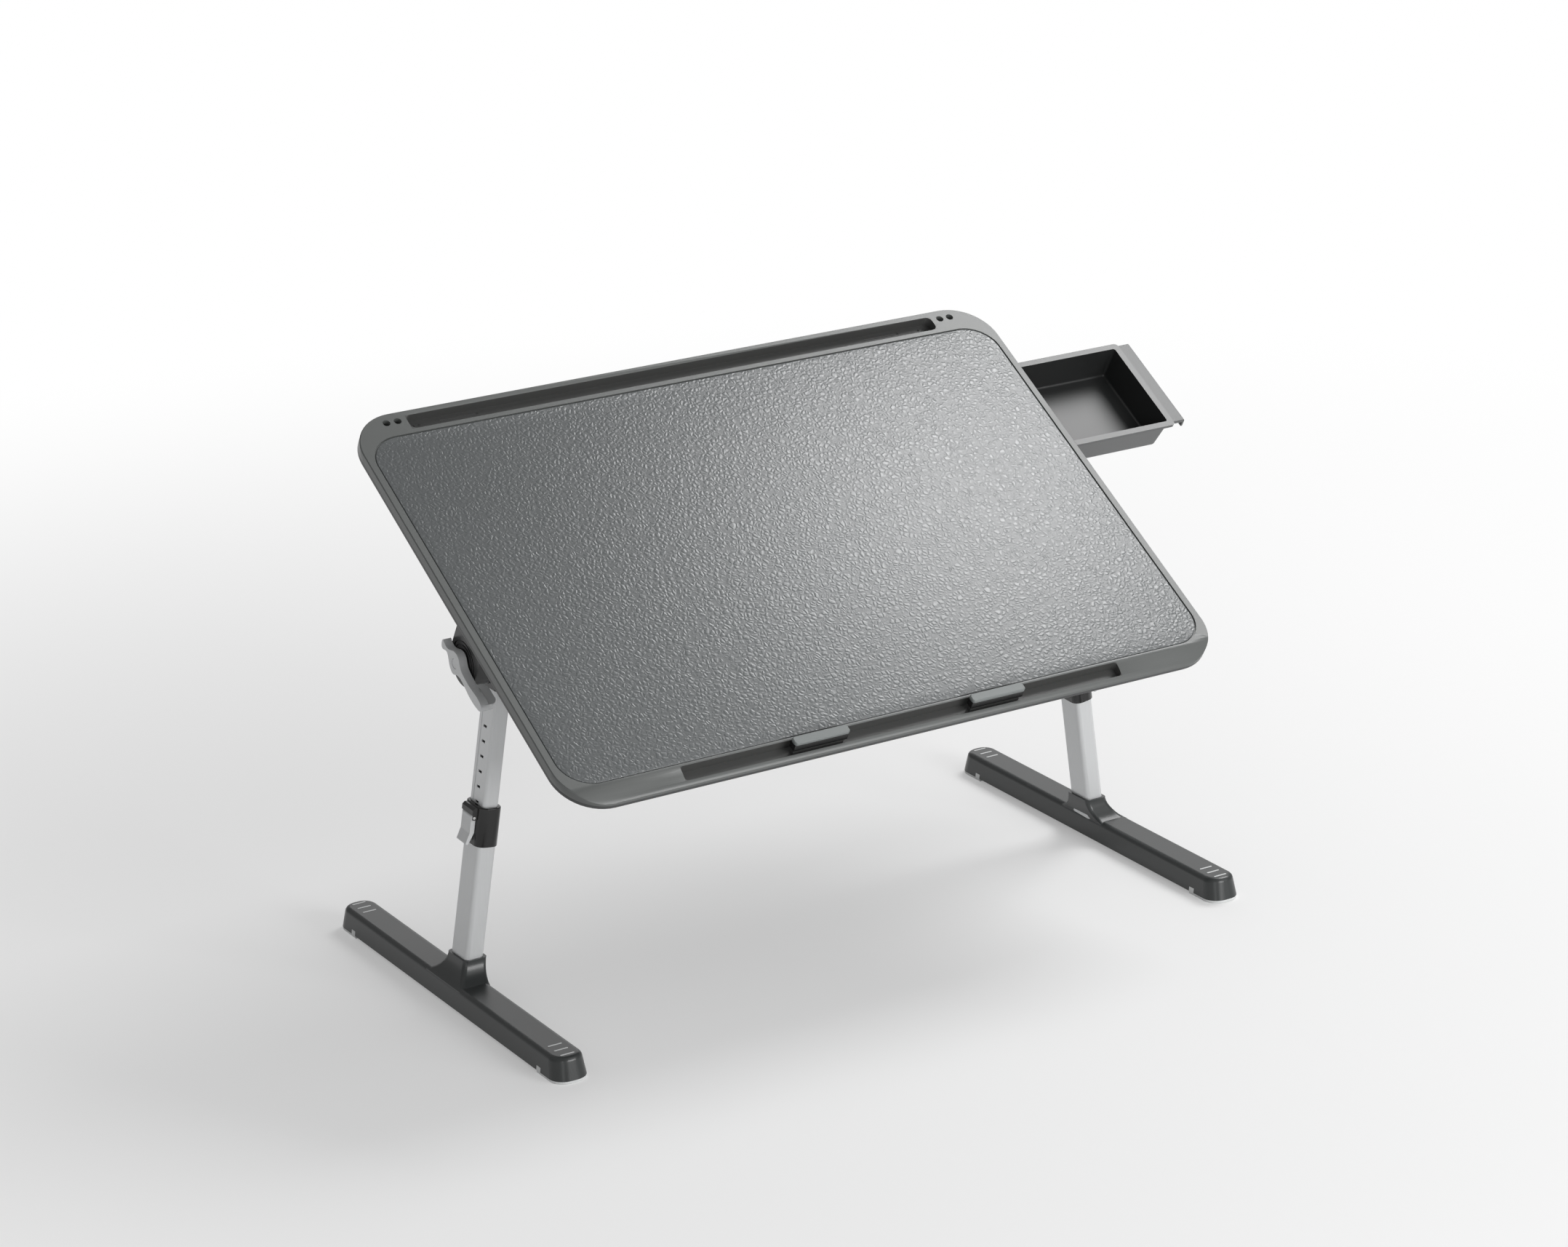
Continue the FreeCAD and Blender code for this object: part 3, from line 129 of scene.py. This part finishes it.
class StandColours(bpy.types.PropertyGroup):
    shell: colour("Shell", "Moulded top shell", (0.112, 0.118, 0.115))
    # Painted shade: a darker colour for the inside of the front slot and the rear tray.
    trough_shade: colour("Trough", "Shaded inside of the front slot and the rear tray", (0.070, 0.071, 0.069))
    cover: colour("Cover", "Underside cover and drawer housing", (0.048, 0.050, 0.050))
    mat: colour("Mat", "Artificial leather mat, tops of the pebbles", (0.098, 0.107, 0.109))
    # Painted shade: a darker colour for the creases between the leather's pebbles.
    mat_crease_shade: colour("Mat crease", "Artificial leather mat, between the pebbles", (0.080, 0.087, 0.089))
    black: colour("Black plastic", "Brackets, hoods, knuckles and collars", (0.010, 0.010, 0.010))
    tube: colour("Tube", "Silver lacquered leg tubes", (0.61, 0.62, 0.625))
    light: colour("Light plastic", "Lock levers, their pins and height latches", (0.61, 0.62, 0.625))
    stop: colour("Stop cap", "Caps of the page stops", (0.165, 0.18, 0.178))
    steel: colour("Steel", "Screws, rivets and axles", (0.55, 0.55, 0.55))
    foot: colour("Foot", "Foot bars", (0.033, 0.036, 0.036))
    grip: colour("Grip", "Sole pads and inlay lines", (0.68, 0.69, 0.69))
    drawer: colour("Drawer", "Drawer tray and pull", (0.100, 0.103, 0.103))
    # Painted shade: a darker colour for the inward faces of the drawer tray.
    drawer_inside_shade: colour("Drawer inside", "Shaded inside of the drawer tray", (0.020, 0.021, 0.021))


class StandMat(bpy.types.PropertyGroup):
    pebble: length("Pebble", "Width of one leather pebble", 0.0047)
    relief: length("Relief", "Height of the pebbles", 0.00028)
    edge: length("Edge", "Rounding of the mat's upper edge", 0.0007)
    corner_segments: IntProperty(name="Corner segments", description="Segments round each corner", default=14)


class StandStage(bpy.types.PropertyGroup):
    focal: FloatProperty(name="Focal length", description="Camera lens in millimetres on a 36 mm sensor",
                         default=100.1)
    roll: FloatProperty(name="Roll", description="Camera roll", default=math.radians(-1.3886),
                        unit="ROTATION")
    place: FloatVectorProperty(name="Camera", description="Camera position", size=3, unit="LENGTH",
                               default=(-1.9972, -3.3045, 1.6426))
    aim: FloatVectorProperty(name="Aim", description="Viewing direction", size=3,
                             default=(0.4883, 0.8079, -0.3299))
    floor: colour("Floor", "Floor of the studio", (0.86, 0.86, 0.86))
    key: power("Key light", "soft box at the front right", 18.0)
    sheen: power("Sheen light", "soft box over the right rear", 38.0)
    fill: power("Fill light", "tall soft box at the front left", 13.0)
    rear: power("Rear light", "low soft box behind the stand", 11.0)
    front: power("Front light", "low soft box in front", 46.0)
    sky: FloatProperty(name="Sky", description="Strength of the even light from all round", default=0.34)


# ------------------------------------------------------------------ shader groups

def group(name, inputs):
    """A shader group that puts out a colour, a roughness and a height."""
    tree = bpy.data.node_groups.new(name, "ShaderNodeTree")
    for label, kind, value in inputs:
        socket = tree.interface.new_socket(label, in_out="INPUT", socket_type="NodeSocket" + kind)
        socket.default_value = value
    for label, kind in (("Color", "Color"), ("Roughness", "Float"), ("Height", "Float")):
        tree.interface.new_socket(label, in_out="OUTPUT", socket_type="NodeSocket" + kind)
    return tree, tree.nodes.new("NodeGroupInput").outputs, tree.nodes.new("NodeGroupOutput").inputs


def feed(tree, socket, value):
    """Set a socket to a number, or link an output to it."""
    if isinstance(value, (int, float)):
        socket.default_value = value
    else:
        tree.links.new(value, socket)


def math_node(tree, how, a, b=None, clamp=False):
    node = tree.nodes.new("ShaderNodeMath")
    node.operation = how
    node.use_clamp = clamp
    feed(tree, node.inputs[0], a)
    if b is not None:
        feed(tree, node.inputs[1], b)
    return node.outputs[0]


def position(tree):
    return tree.nodes.new("ShaderNodeTexCoord").outputs["Object"]


def scaled(tree, vector, scale):
    node = tree.nodes.new("ShaderNodeVectorMath")
    node.operation = "SCALE"
    tree.links.new(vector, node.inputs[0])
    tree.links.new(scale, node.inputs["Scale"])
    return node.outputs[0]


def noise(tree, vector, scale=1.0, detail=2.0, rough=0.5, out="Fac"):
    node = tree.nodes.new("ShaderNodeTexNoise")
    tree.links.new(vector, node.inputs["Vector"])
    node.inputs["Scale"].default_value = scale
    node.inputs["Detail"].default_value = detail
    node.inputs["Roughness"].default_value = rough
    return node.outputs[out]


def swing(tree, value, amount):
    """Turn a noise of 0 to 1 into one about zero, times the amount."""
    return math_node(tree, "MULTIPLY", math_node(tree, "SUBTRACT", value, 0.5), amount)


def mix_colour(tree, fac, a, b):
    node = tree.nodes.new("ShaderNodeMix")
    node.data_type = "RGBA"
    tree.links.new(fac, node.inputs[0])
    for socket, value in ((node.inputs[6], a), (node.inputs[7], b)):
        if hasattr(value, "is_output"):
            tree.links.new(value, socket)
        else:
            socket.default_value = (*value, 1.0)
    return node.outputs[2]


def moulded_grain():
    """Fine spark-eroded grain of moulded plastic: a height, and a drift of tone and gloss."""
    tree, given, result = group("moulded_grain", [
        ("Color", "Color", (0.5, 0.5, 0.5, 1)), ("Grain", "Float", FINE_GRAIN),
        ("Drift", "Float", 0.08), ("Roughness", "Float", 0.4)])
    fine = noise(tree, scaled(tree, position(tree), given["Grain"]), rough=0.6)
    wide = noise(tree, position(tree), scale=9.0, detail=3.0, rough=0.55)
    drift = swing(tree, wide, given["Drift"])
    speck = swing(tree, fine, SPECK_TONE)
    gain = math_node(tree, "ADD", math_node(tree, "ADD", drift, 1.0), speck)
    gloss = math_node(tree, "MULTIPLY", drift, GLOSS_SHARE)
    tree.links.new(scaled(tree, given["Color"], gain), result["Color"])
    tree.links.new(math_node(tree, "ADD", given["Roughness"], gloss, clamp=True), result["Roughness"])
    tree.links.new(fine, result["Height"])
    return tree


def pebbled_leather():
    """Pressed leather grain: uneven pebbles parted by creases with painted shade, on a gentle swell."""
    tree, given, result = group("pebbled_leather", [
        ("Pebble color", "Color", (0.2, 0.2, 0.2, 1)), ("Crease color", "Color", (0.1, 0.1, 0.1, 1)),
        ("Pebbles per metre", "Float", 300.0)])
    spot = scaled(tree, position(tree), given["Pebbles per metre"])
    push = tree.nodes.new("ShaderNodeVectorMath")
    push.operation = "MULTIPLY_ADD"
    tree.links.new(noise(tree, spot, scale=0.55, out="Color"), push.inputs[0])
    push.inputs[1].default_value = (PEBBLE_BEND,) * 3
    tree.links.new(spot, push.inputs[2])
    cells = tree.nodes.new("ShaderNodeTexVoronoi")
    cells.feature = "DISTANCE_TO_EDGE"
    tree.links.new(push.outputs[0], cells.inputs["Vector"])
    cells.inputs["Scale"].default_value = 1.0
    dome = tree.nodes.new("ShaderNodeMapRange")
    dome.interpolation_type = "SMOOTHSTEP"
    tree.links.new(cells.outputs["Distance"], dome.inputs["Value"])
    dome.inputs["From Max"].default_value = CREASE_REACH
    raised = math_node(tree, "MULTIPLY", dome.outputs[0], PEBBLE_SHARE)
    swell = math_node(tree, "MULTIPLY", noise(tree, spot, scale=0.45), SWELL_SHARE)
    # Painted shade: the creases take the darker crease colour, and the pebble tops take the lighter one.
    tint = mix_colour(tree, dome.outputs[0], given["Crease color"], given["Pebble color"])
    broad = noise(tree, position(tree), scale=7.0)
    gain = math_node(tree, "ADD", swing(tree, broad, LEATHER_TONE), 1.0)
    polish = math_node(tree, "MULTIPLY", dome.outputs[0], PEBBLE_POLISH)
    tree.links.new(scaled(tree, tint, gain), result["Color"])
    tree.links.new(math_node(tree, "SUBTRACT", CREASE_ROUGHNESS, polish), result["Roughness"])
    tree.links.new(math_node(tree, "ADD", raised, swell), result["Height"])
    return tree


def drawn_lacquer():
    """Lacquered drawn metal: faint long streaks and a slight orange peel."""
    tree, given, result = group("drawn_lacquer", [
        ("Color", "Color", (0.5, 0.5, 0.5, 1)), ("Roughness", "Float", 0.35)])
    stretch = tree.nodes.new("ShaderNodeMapping")
    stretch.inputs["Scale"].default_value = STREAKS
    tree.links.new(position(tree), stretch.inputs["Vector"])
    streak = swing(tree, noise(tree, stretch.outputs[0]), STREAK_TONE)
    peel = noise(tree, position(tree), scale=650.0, detail=1.0, rough=0.4)
    gain = math_node(tree, "ADD", streak, 1.0)
    tree.links.new(scaled(tree, given["Color"], gain), result["Color"])
    tree.links.new(math_node(tree, "ADD", given["Roughness"], streak, clamp=True), result["Roughness"])
    tree.links.new(peel, result["Height"])
    return tree


def inner_faces(nt, middle):
    """A mask of the faces that look towards the middle of a hollow piece, which take painted shade."""
    place = nt.nodes.new("ShaderNodeTexCoord")
    away = nt.nodes.new("ShaderNodeVectorMath")
    away.operation = "SUBTRACT"
    away.inputs[0].default_value = middle
    nt.links.new(place.outputs["Object"], away.inputs[1])
    facing = nt.nodes.new("ShaderNodeVectorMath")
    facing.operation = "DOT_PRODUCT"
    nt.links.new(away.outputs[0], facing.inputs[0])
    nt.links.new(place.outputs["Normal"], facing.inputs[1])
    return math_node(nt, "GREATER_THAN", facing.outputs["Value"], 0.0)


def troughs(nt):
    """A mask of the front slot and the rear tray, where painted shade goes, worked out in the flat panel
    frame.
    """
    flat = nt.nodes.new("ShaderNodeMapping")
    flat.inputs["Rotation"].default_value = (-TILT, 0.0, 0.0)
    flat.inputs["Location"].default_value = desk_matrix().inverted().translation
    nt.links.new(position(nt), flat.inputs["Vector"])
    parts = nt.nodes.new("ShaderNodeSeparateXYZ")
    nt.links.new(flat.outputs[0], parts.inputs[0])
    across = math_node(nt, "ABSOLUTE", parts.outputs["X"])
    total = 0.0
    for half_length, middle, half_width in TROUGHS:
        off = math_node(nt, "ABSOLUTE", math_node(nt, "SUBTRACT", parts.outputs["Y"], middle))
        along = math_node(nt, "LESS_THAN", across, half_length)
        inside = math_node(nt, "MULTIPLY", along, math_node(nt, "LESS_THAN", off, half_width))
        total = math_node(nt, "ADD", inside, total)
    return total


def shade_masked_faces(mat, mask, tone, inner):
    """Paint shade onto the masked faces of a finish as a darker second colour."""
    nt = mat.node_tree
    grained = next(n for n in nt.nodes if n.type == "GROUP")
    nt.links.new(mix_colour(nt, mask, tone, inner), grained.inputs["Color"])


def surface(name, tree, values, bump, depth, metallic=0.0, specular=0.5):
    """A Principled material fed by one of the groups above."""
    mat = bpy.data.materials.new(name)
    mat.use_nodes = True
    nt = mat.node_tree
    shader = nt.nodes["Principled BSDF"]
    node = nt.nodes.new("ShaderNodeGroup")
    node.node_tree = tree
    for label, value in values.items():
        node.inputs[label].default_value = value if isinstance(value, float) else (*value, 1.0)
    nt.links.new(node.outputs["Color"], shader.inputs["Base Color"])
    nt.links.new(node.outputs["Roughness"], shader.inputs["Roughness"])
    relief = nt.nodes.new("ShaderNodeBump")
    relief.inputs["Strength"].default_value = bump
    relief.inputs["Distance"].default_value = depth
    nt.links.new(node.outputs["Height"], relief.inputs["Height"])
    nt.links.new(relief.outputs["Normal"], shader.inputs["Normal"])
    shader.inputs["Metallic"].default_value = metallic
    shader.inputs["Specular IOR Level"].default_value = specular
    return mat


def wear(node, mat):
    """Give a CAD piece its finish."""
    data = node.data
    if not data.materials:
        data.materials.append(mat)
    for k in range(len(data.materials)):
        data.materials[k] = mat


def eased(node, width):
    """Take the sharpness off the edges of a CAD piece."""
    weld = node.modifiers.new("joined_faces", "WELD")
    weld.merge_threshold = WELD_REACH
    ease = node.modifiers.new("eased_edges", "BEVEL")
    ease.width = width
    ease.segments = EASED_SEGMENTS
    ease.profile = 0.5
    ease.limit_method = "ANGLE"
    ease.angle_limit = EASED_ANGLE
    ease.harden_normals = True


def sides(*names):
    return [n + "_" + s for n in names for s in ("left", "right")]


def desk_matrix():
    """The turn and move that lay the flat panel frame on the tilted desk."""
    back, up = -HINGE_V, -HINGE_H
    origin = Vector((0.0, HINGE_Y + back * math.cos(TILT) - up * math.sin(TILT),
                     HINGE_Z + back * math.sin(TILT) + up * math.cos(TILT)))
    return Matrix.Translation(origin) @ Matrix.Rotation(TILT, 4, "X")


def finished(bm, name, body, mat):
    """Turn a bmesh into a piece that rides on a body."""
    bmesh.ops.recalc_face_normals(bm, faces=bm.faces)
    mesh = bpy.data.meshes.new(name)
    bm.to_mesh(mesh)
    bm.free()
    for poly in mesh.polygons:
        poly.use_smooth = True
    mesh.set_sharp_from_angle(angle=SMOOTH_ANGLE)
    obj = bpy.data.objects.new(name, mesh)
    bpy.context.scene.collection.objects.link(obj)
    mesh.materials.append(mat)
    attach(obj, body)
    return obj


# ------------------------------------------------------------------ operators

class STAND_OT_finishes(bpy.types.Operator):
    """Paint every moulded, metal and rubber piece of the stand"""
    bl_idname = "stand.finishes"
    bl_label = "Finishes"

    def execute(self, context):
        tones = context.scene.stand_colours
        grain = moulded_grain()
        lacquer = drawn_lacquer()

        def plastic(name, tone, rough, bump=0.25, grains=FINE_GRAIN):
            values = {"Color": tone, "Roughness": rough, "Grain": grains}
            return surface(name, grain, values, bump, GRAIN_DEPTH)

        def metal(name, tone, rough, bump, metallic):
            return surface(name, lacquer, {"Color": tone, "Roughness": rough}, bump, GRAIN_DEPTH, metallic)

        shell = plastic("satin_shell", tones.shell, rough=0.36)
        cover = plastic("satin_cover", tones.cover, rough=0.40)
        black = plastic("satin_black", tones.black, rough=0.26, bump=0.12)
        light = plastic("light_grey_plastic", tones.light, rough=0.36, bump=0.15)
        cap = plastic("stop_cap_plastic", tones.stop, rough=0.45, bump=0.2)
        foot = plastic("foot_plastic", tones.foot, rough=0.30, bump=0.08, grains=FOOT_GRAIN)
        grip = plastic("grip_rubber", tones.grip, rough=0.65, bump=0.3)
        drawer = plastic("drawer_plastic", tones.drawer, rough=0.42)
        tray = plastic("drawer_tray_plastic", tones.drawer, rough=0.36)
        # Painted shade on the drawer tray's inward faces.
        low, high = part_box("drawer_tray")
        shade_masked_faces(tray, inner_faces(tray.node_tree, (low + high) / 2), tones.drawer, tones.drawer_inside_shade)
        # Painted shade in the shell's front slot and rear tray.
        shade_masked_faces(shell, troughs(shell.node_tree), tones.shell, tones.trough_shade)
        tube = metal("silver_lacquer", tones.tube, rough=0.34, bump=0.06, metallic=0.25)
        steel = metal("plated_steel", tones.steel, rough=0.28, bump=0.05, metallic=1.0)
        plan = {
            shell: ["desktop_frame"],
            cover: ["underside_cover", "drawer_housing"],
            black: ["drawer_rails", "housing_catch"] + sides("bracket", "stop_body", "tilt_drum", "fold_yoke",
                                                             "leg_knuckle", "height_collar"),
            light: sides("lock_lever", "height_latch", "lever_pin"),
            cap: sides("stop_cap"),
            foot: sides("foot_bar"),
            grip: sides("foot_pads", "foot_inlays"),
            tray: ["drawer_tray"],
            drawer: ["drawer_pull"],
            tube: sides("inner_tube", "outer_tube"),
            steel: ["housing_screws"] + sides("bracket_screws", "tilt_axle", "clutch_disc", "fold_rivet",
                                              "latch_pin"),
        }
        for mat, names in plan.items():
            for name in names:
                wear(NODES[name], mat)
        for name in ["desktop_frame"] + sides("height_latch", "height_collar", "leg_knuckle"):
            eased(NODES[name], SOFT_EDGE)
        for name in sides("lock_lever"):
            eased(NODES[name], LEVER_EDGE)
        return {"FINISHED"}


class STAND_OT_mat(bpy.types.Operator):
    """Lay the leather mat in its recess"""
    bl_idname = "stand.mat"
    bl_label = "Leather mat"

    def execute(self, context):
        tones = context.scene.stand_colours
        sizes = context.scene.stand_mat
        thick = MAT_TOP - MAT_LOW
        bm = bmesh.new()
        bmesh.ops.create_cube(bm, size=1.0)
        bmesh.ops.scale(bm, vec=(MAT_WIDTH, MAT_DEPTH, thick), verts=bm.verts)
        upright = [e for e in bm.edges if abs(e.verts[0].co.z - e.verts[1].co.z) > thick / 2]
        bmesh.ops.bevel(bm, geom=upright, offset=MAT_RADIUS, segments=sizes.corner_segments, profile=0.5,
                        affect="EDGES", material=-1)
        rim = [e for e in bm.edges if all(v.co.z > 0 for v in e.verts) and len(e.link_faces) == 2
               and abs(e.link_faces[0].normal.z - e.link_faces[1].normal.z) > RIM_LIFT]
        bmesh.ops.bevel(bm, geom=rim, offset=sizes.edge, segments=RIM_SEGMENTS, profile=0.5, affect="EDGES",
                        material=-1)
        bmesh.ops.translate(bm, vec=(0, MAT_MIDDLE_V, (MAT_TOP + MAT_LOW) / 2), verts=bm.verts)
        bmesh.ops.transform(bm, matrix=desk_matrix(), verts=bm.verts)
        values = {"Pebble color": tones.mat, "Crease color": tones.mat_crease_shade,
                  "Pebbles per metre": 1.0 / sizes.pebble}
        leather = surface("pebbled_leather_mat", pebbled_leather(), values, MAT_BUMP, sizes.relief,
                          specular=1.0)
        obj = finished(bm, "leather_mat", "desk", leather)
        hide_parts("leather_pad")
        return {"FINISHED"}


def soft_box(name, place, aim, size, watts):
    """Hang an area light that looks at a point."""
    data = bpy.data.lights.new(name, "AREA")
    data.shape = "RECTANGLE"
    data.size, data.size_y = size
    data.energy = watts
    obj = bpy.data.objects.new(name, data)
    bpy.context.scene.collection.objects.link(obj)
    obj.location = place
    obj.rotation_euler = (Vector(aim) - Vector(place)).to_track_quat("-Z", "Y").to_euler()


class STAND_OT_stage(bpy.types.Operator):
    """Set the pale floor, the soft boxes and the camera"""
    bl_idname = "stand.stage"
    bl_label = "Studio"

    def execute(self, context):
        stage = context.scene.stand_stage
        scene = context.scene
        scene.view_settings.view_transform = "Standard"
        self.lay_floor(stage)
        self.light_world(scene, stage)
        for name, (place, aim, size) in SOFT_BOXES.items():
            soft_box(name + "_box", place, aim, size, getattr(stage, name))
        self.set_camera(scene, stage)
        return {"FINISHED"}

    def lay_floor(self, stage):
        bm = bmesh.new()
        bmesh.ops.create_grid(bm, x_segments=1, y_segments=1, size=FLOOR_SIZE)
        mesh = bpy.data.meshes.new("floor")
        bm.to_mesh(mesh)
        bm.free()
        floor = bpy.data.objects.new("floor", mesh)
        bpy.context.scene.collection.objects.link(floor)
        mat = bpy.data.materials.new("studio_floor")
        mat.use_nodes = True
        nt = mat.node_tree
        shader = nt.nodes["Principled BSDF"]
        shader.inputs["Base Color"].default_value = (*stage.floor, 1.0)
        shader.inputs["Roughness"].default_value = 0.9
        shader.inputs["Specular IOR Level"].default_value = 0.2
        far = nt.nodes.new("ShaderNodeVectorMath")
        far.operation = "LENGTH"
        nt.links.new(position(nt), far.inputs[0])
        fade = nt.nodes.new("ShaderNodeMapRange")
        fade.interpolation_type = "SMOOTHSTEP"
        fade.inputs["From Min"].default_value = GLOW_FROM
        fade.inputs["From Max"].default_value = GLOW_TO
        fade.inputs["To Min"].default_value = GLOW_LEAST
        nt.links.new(far.outputs["Value"], fade.inputs["Value"])
        glow = nt.nodes.new("ShaderNodeEmission")
        path = nt.nodes.new("ShaderNodeLightPath")
        seen = math_node(nt, "MAXIMUM", path.outputs["Is Camera Ray"], path.outputs["Is Glossy Ray"])
        amount = math_node(nt, "MULTIPLY", fade.outputs[0], seen)
        blend = nt.nodes.new("ShaderNodeMixShader")
        nt.links.new(amount, blend.inputs[0])
        nt.links.new(shader.outputs[0], blend.inputs[1])
        nt.links.new(glow.outputs[0], blend.inputs[2])
        nt.links.new(blend.outputs[0], nt.nodes["Material Output"].inputs["Surface"])
        mesh.materials.append(mat)

    def light_world(self, scene, stage):
        world = bpy.data.worlds.new("studio")
        scene.world = world
        world.use_nodes = True
        nt = world.node_tree
        back = nt.nodes["Background"]
        path = nt.nodes.new("ShaderNodeLightPath")
        seen = math_node(nt, "MAXIMUM", path.outputs["Is Camera Ray"], path.outputs["Is Transmission Ray"])
        back.inputs["Color"].default_value = (1.0, 1.0, 1.0, 1.0)
        level = math_node(nt, "ADD", math_node(nt, "MULTIPLY", seen, 1.0 - stage.sky), stage.sky)
        nt.links.new(level, back.inputs["Strength"])

    def set_camera(self, scene, stage):
        data = bpy.data.cameras.new("camera")
        data.lens = stage.focal
        data.sensor_width = SENSOR_WIDTH
        data.clip_end = VIEW_REACH
        camera = bpy.data.objects.new("camera", data)
        scene.collection.objects.link(camera)
        ahead = Vector(stage.aim).normalized()
        right = ahead.cross(Vector((0, 0, 1))).normalized()
        up = right.cross(ahead)
        turn = Matrix.Rotation(stage.roll, 4, "Z")
        basis = Matrix((right, up, -ahead)).transposed().to_4x4() @ turn
        camera.matrix_world = Matrix.Translation(Vector(stage.place)) @ basis
        scene.camera = camera


class STAND_PT_panel(bpy.types.Panel):
    """Buttons and sizes of the stand"""
    bl_idname = "STAND_PT_panel"
    bl_label = "Laptop stand"
    bl_space_type = "VIEW_3D"
    bl_region_type = "UI"
    bl_category = "Stand"

    def draw(self, context):
        for op in OPERATORS:
            self.layout.operator(op.bl_idname)
        for settings in (context.scene.stand_colours, context.scene.stand_mat, context.scene.stand_stage):
            box = self.layout.box()
            for key in settings.bl_rna.properties.keys():
                if key not in ("rna_type", "name"):
                    box.prop(settings, key)


OPERATORS = (STAND_OT_finishes, STAND_OT_mat, STAND_OT_stage)
SETTINGS = (("stand_colours", StandColours), ("stand_mat", StandMat), ("stand_stage", StandStage))


def register():
    for _, cls in SETTINGS:
        bpy.utils.register_class(cls)
    for cls in OPERATORS + (STAND_PT_panel,):
        bpy.utils.register_class(cls)
    for name, cls in SETTINGS:
        setattr(bpy.types.Scene, name, PointerProperty(type=cls))


def unregister():
    for name, _ in SETTINGS:
        delattr(bpy.types.Scene, name)
    for cls in (STAND_PT_panel,) + OPERATORS[::-1]:
        bpy.utils.unregister_class(cls)
    for _, cls in SETTINGS[::-1]:
        bpy.utils.unregister_class(cls)


def main():
    register()
    for op in OPERATORS:
        area, action = op.bl_idname.split(".")
        getattr(getattr(bpy.ops, area), action)()


if __name__ == "__main__":
    main()
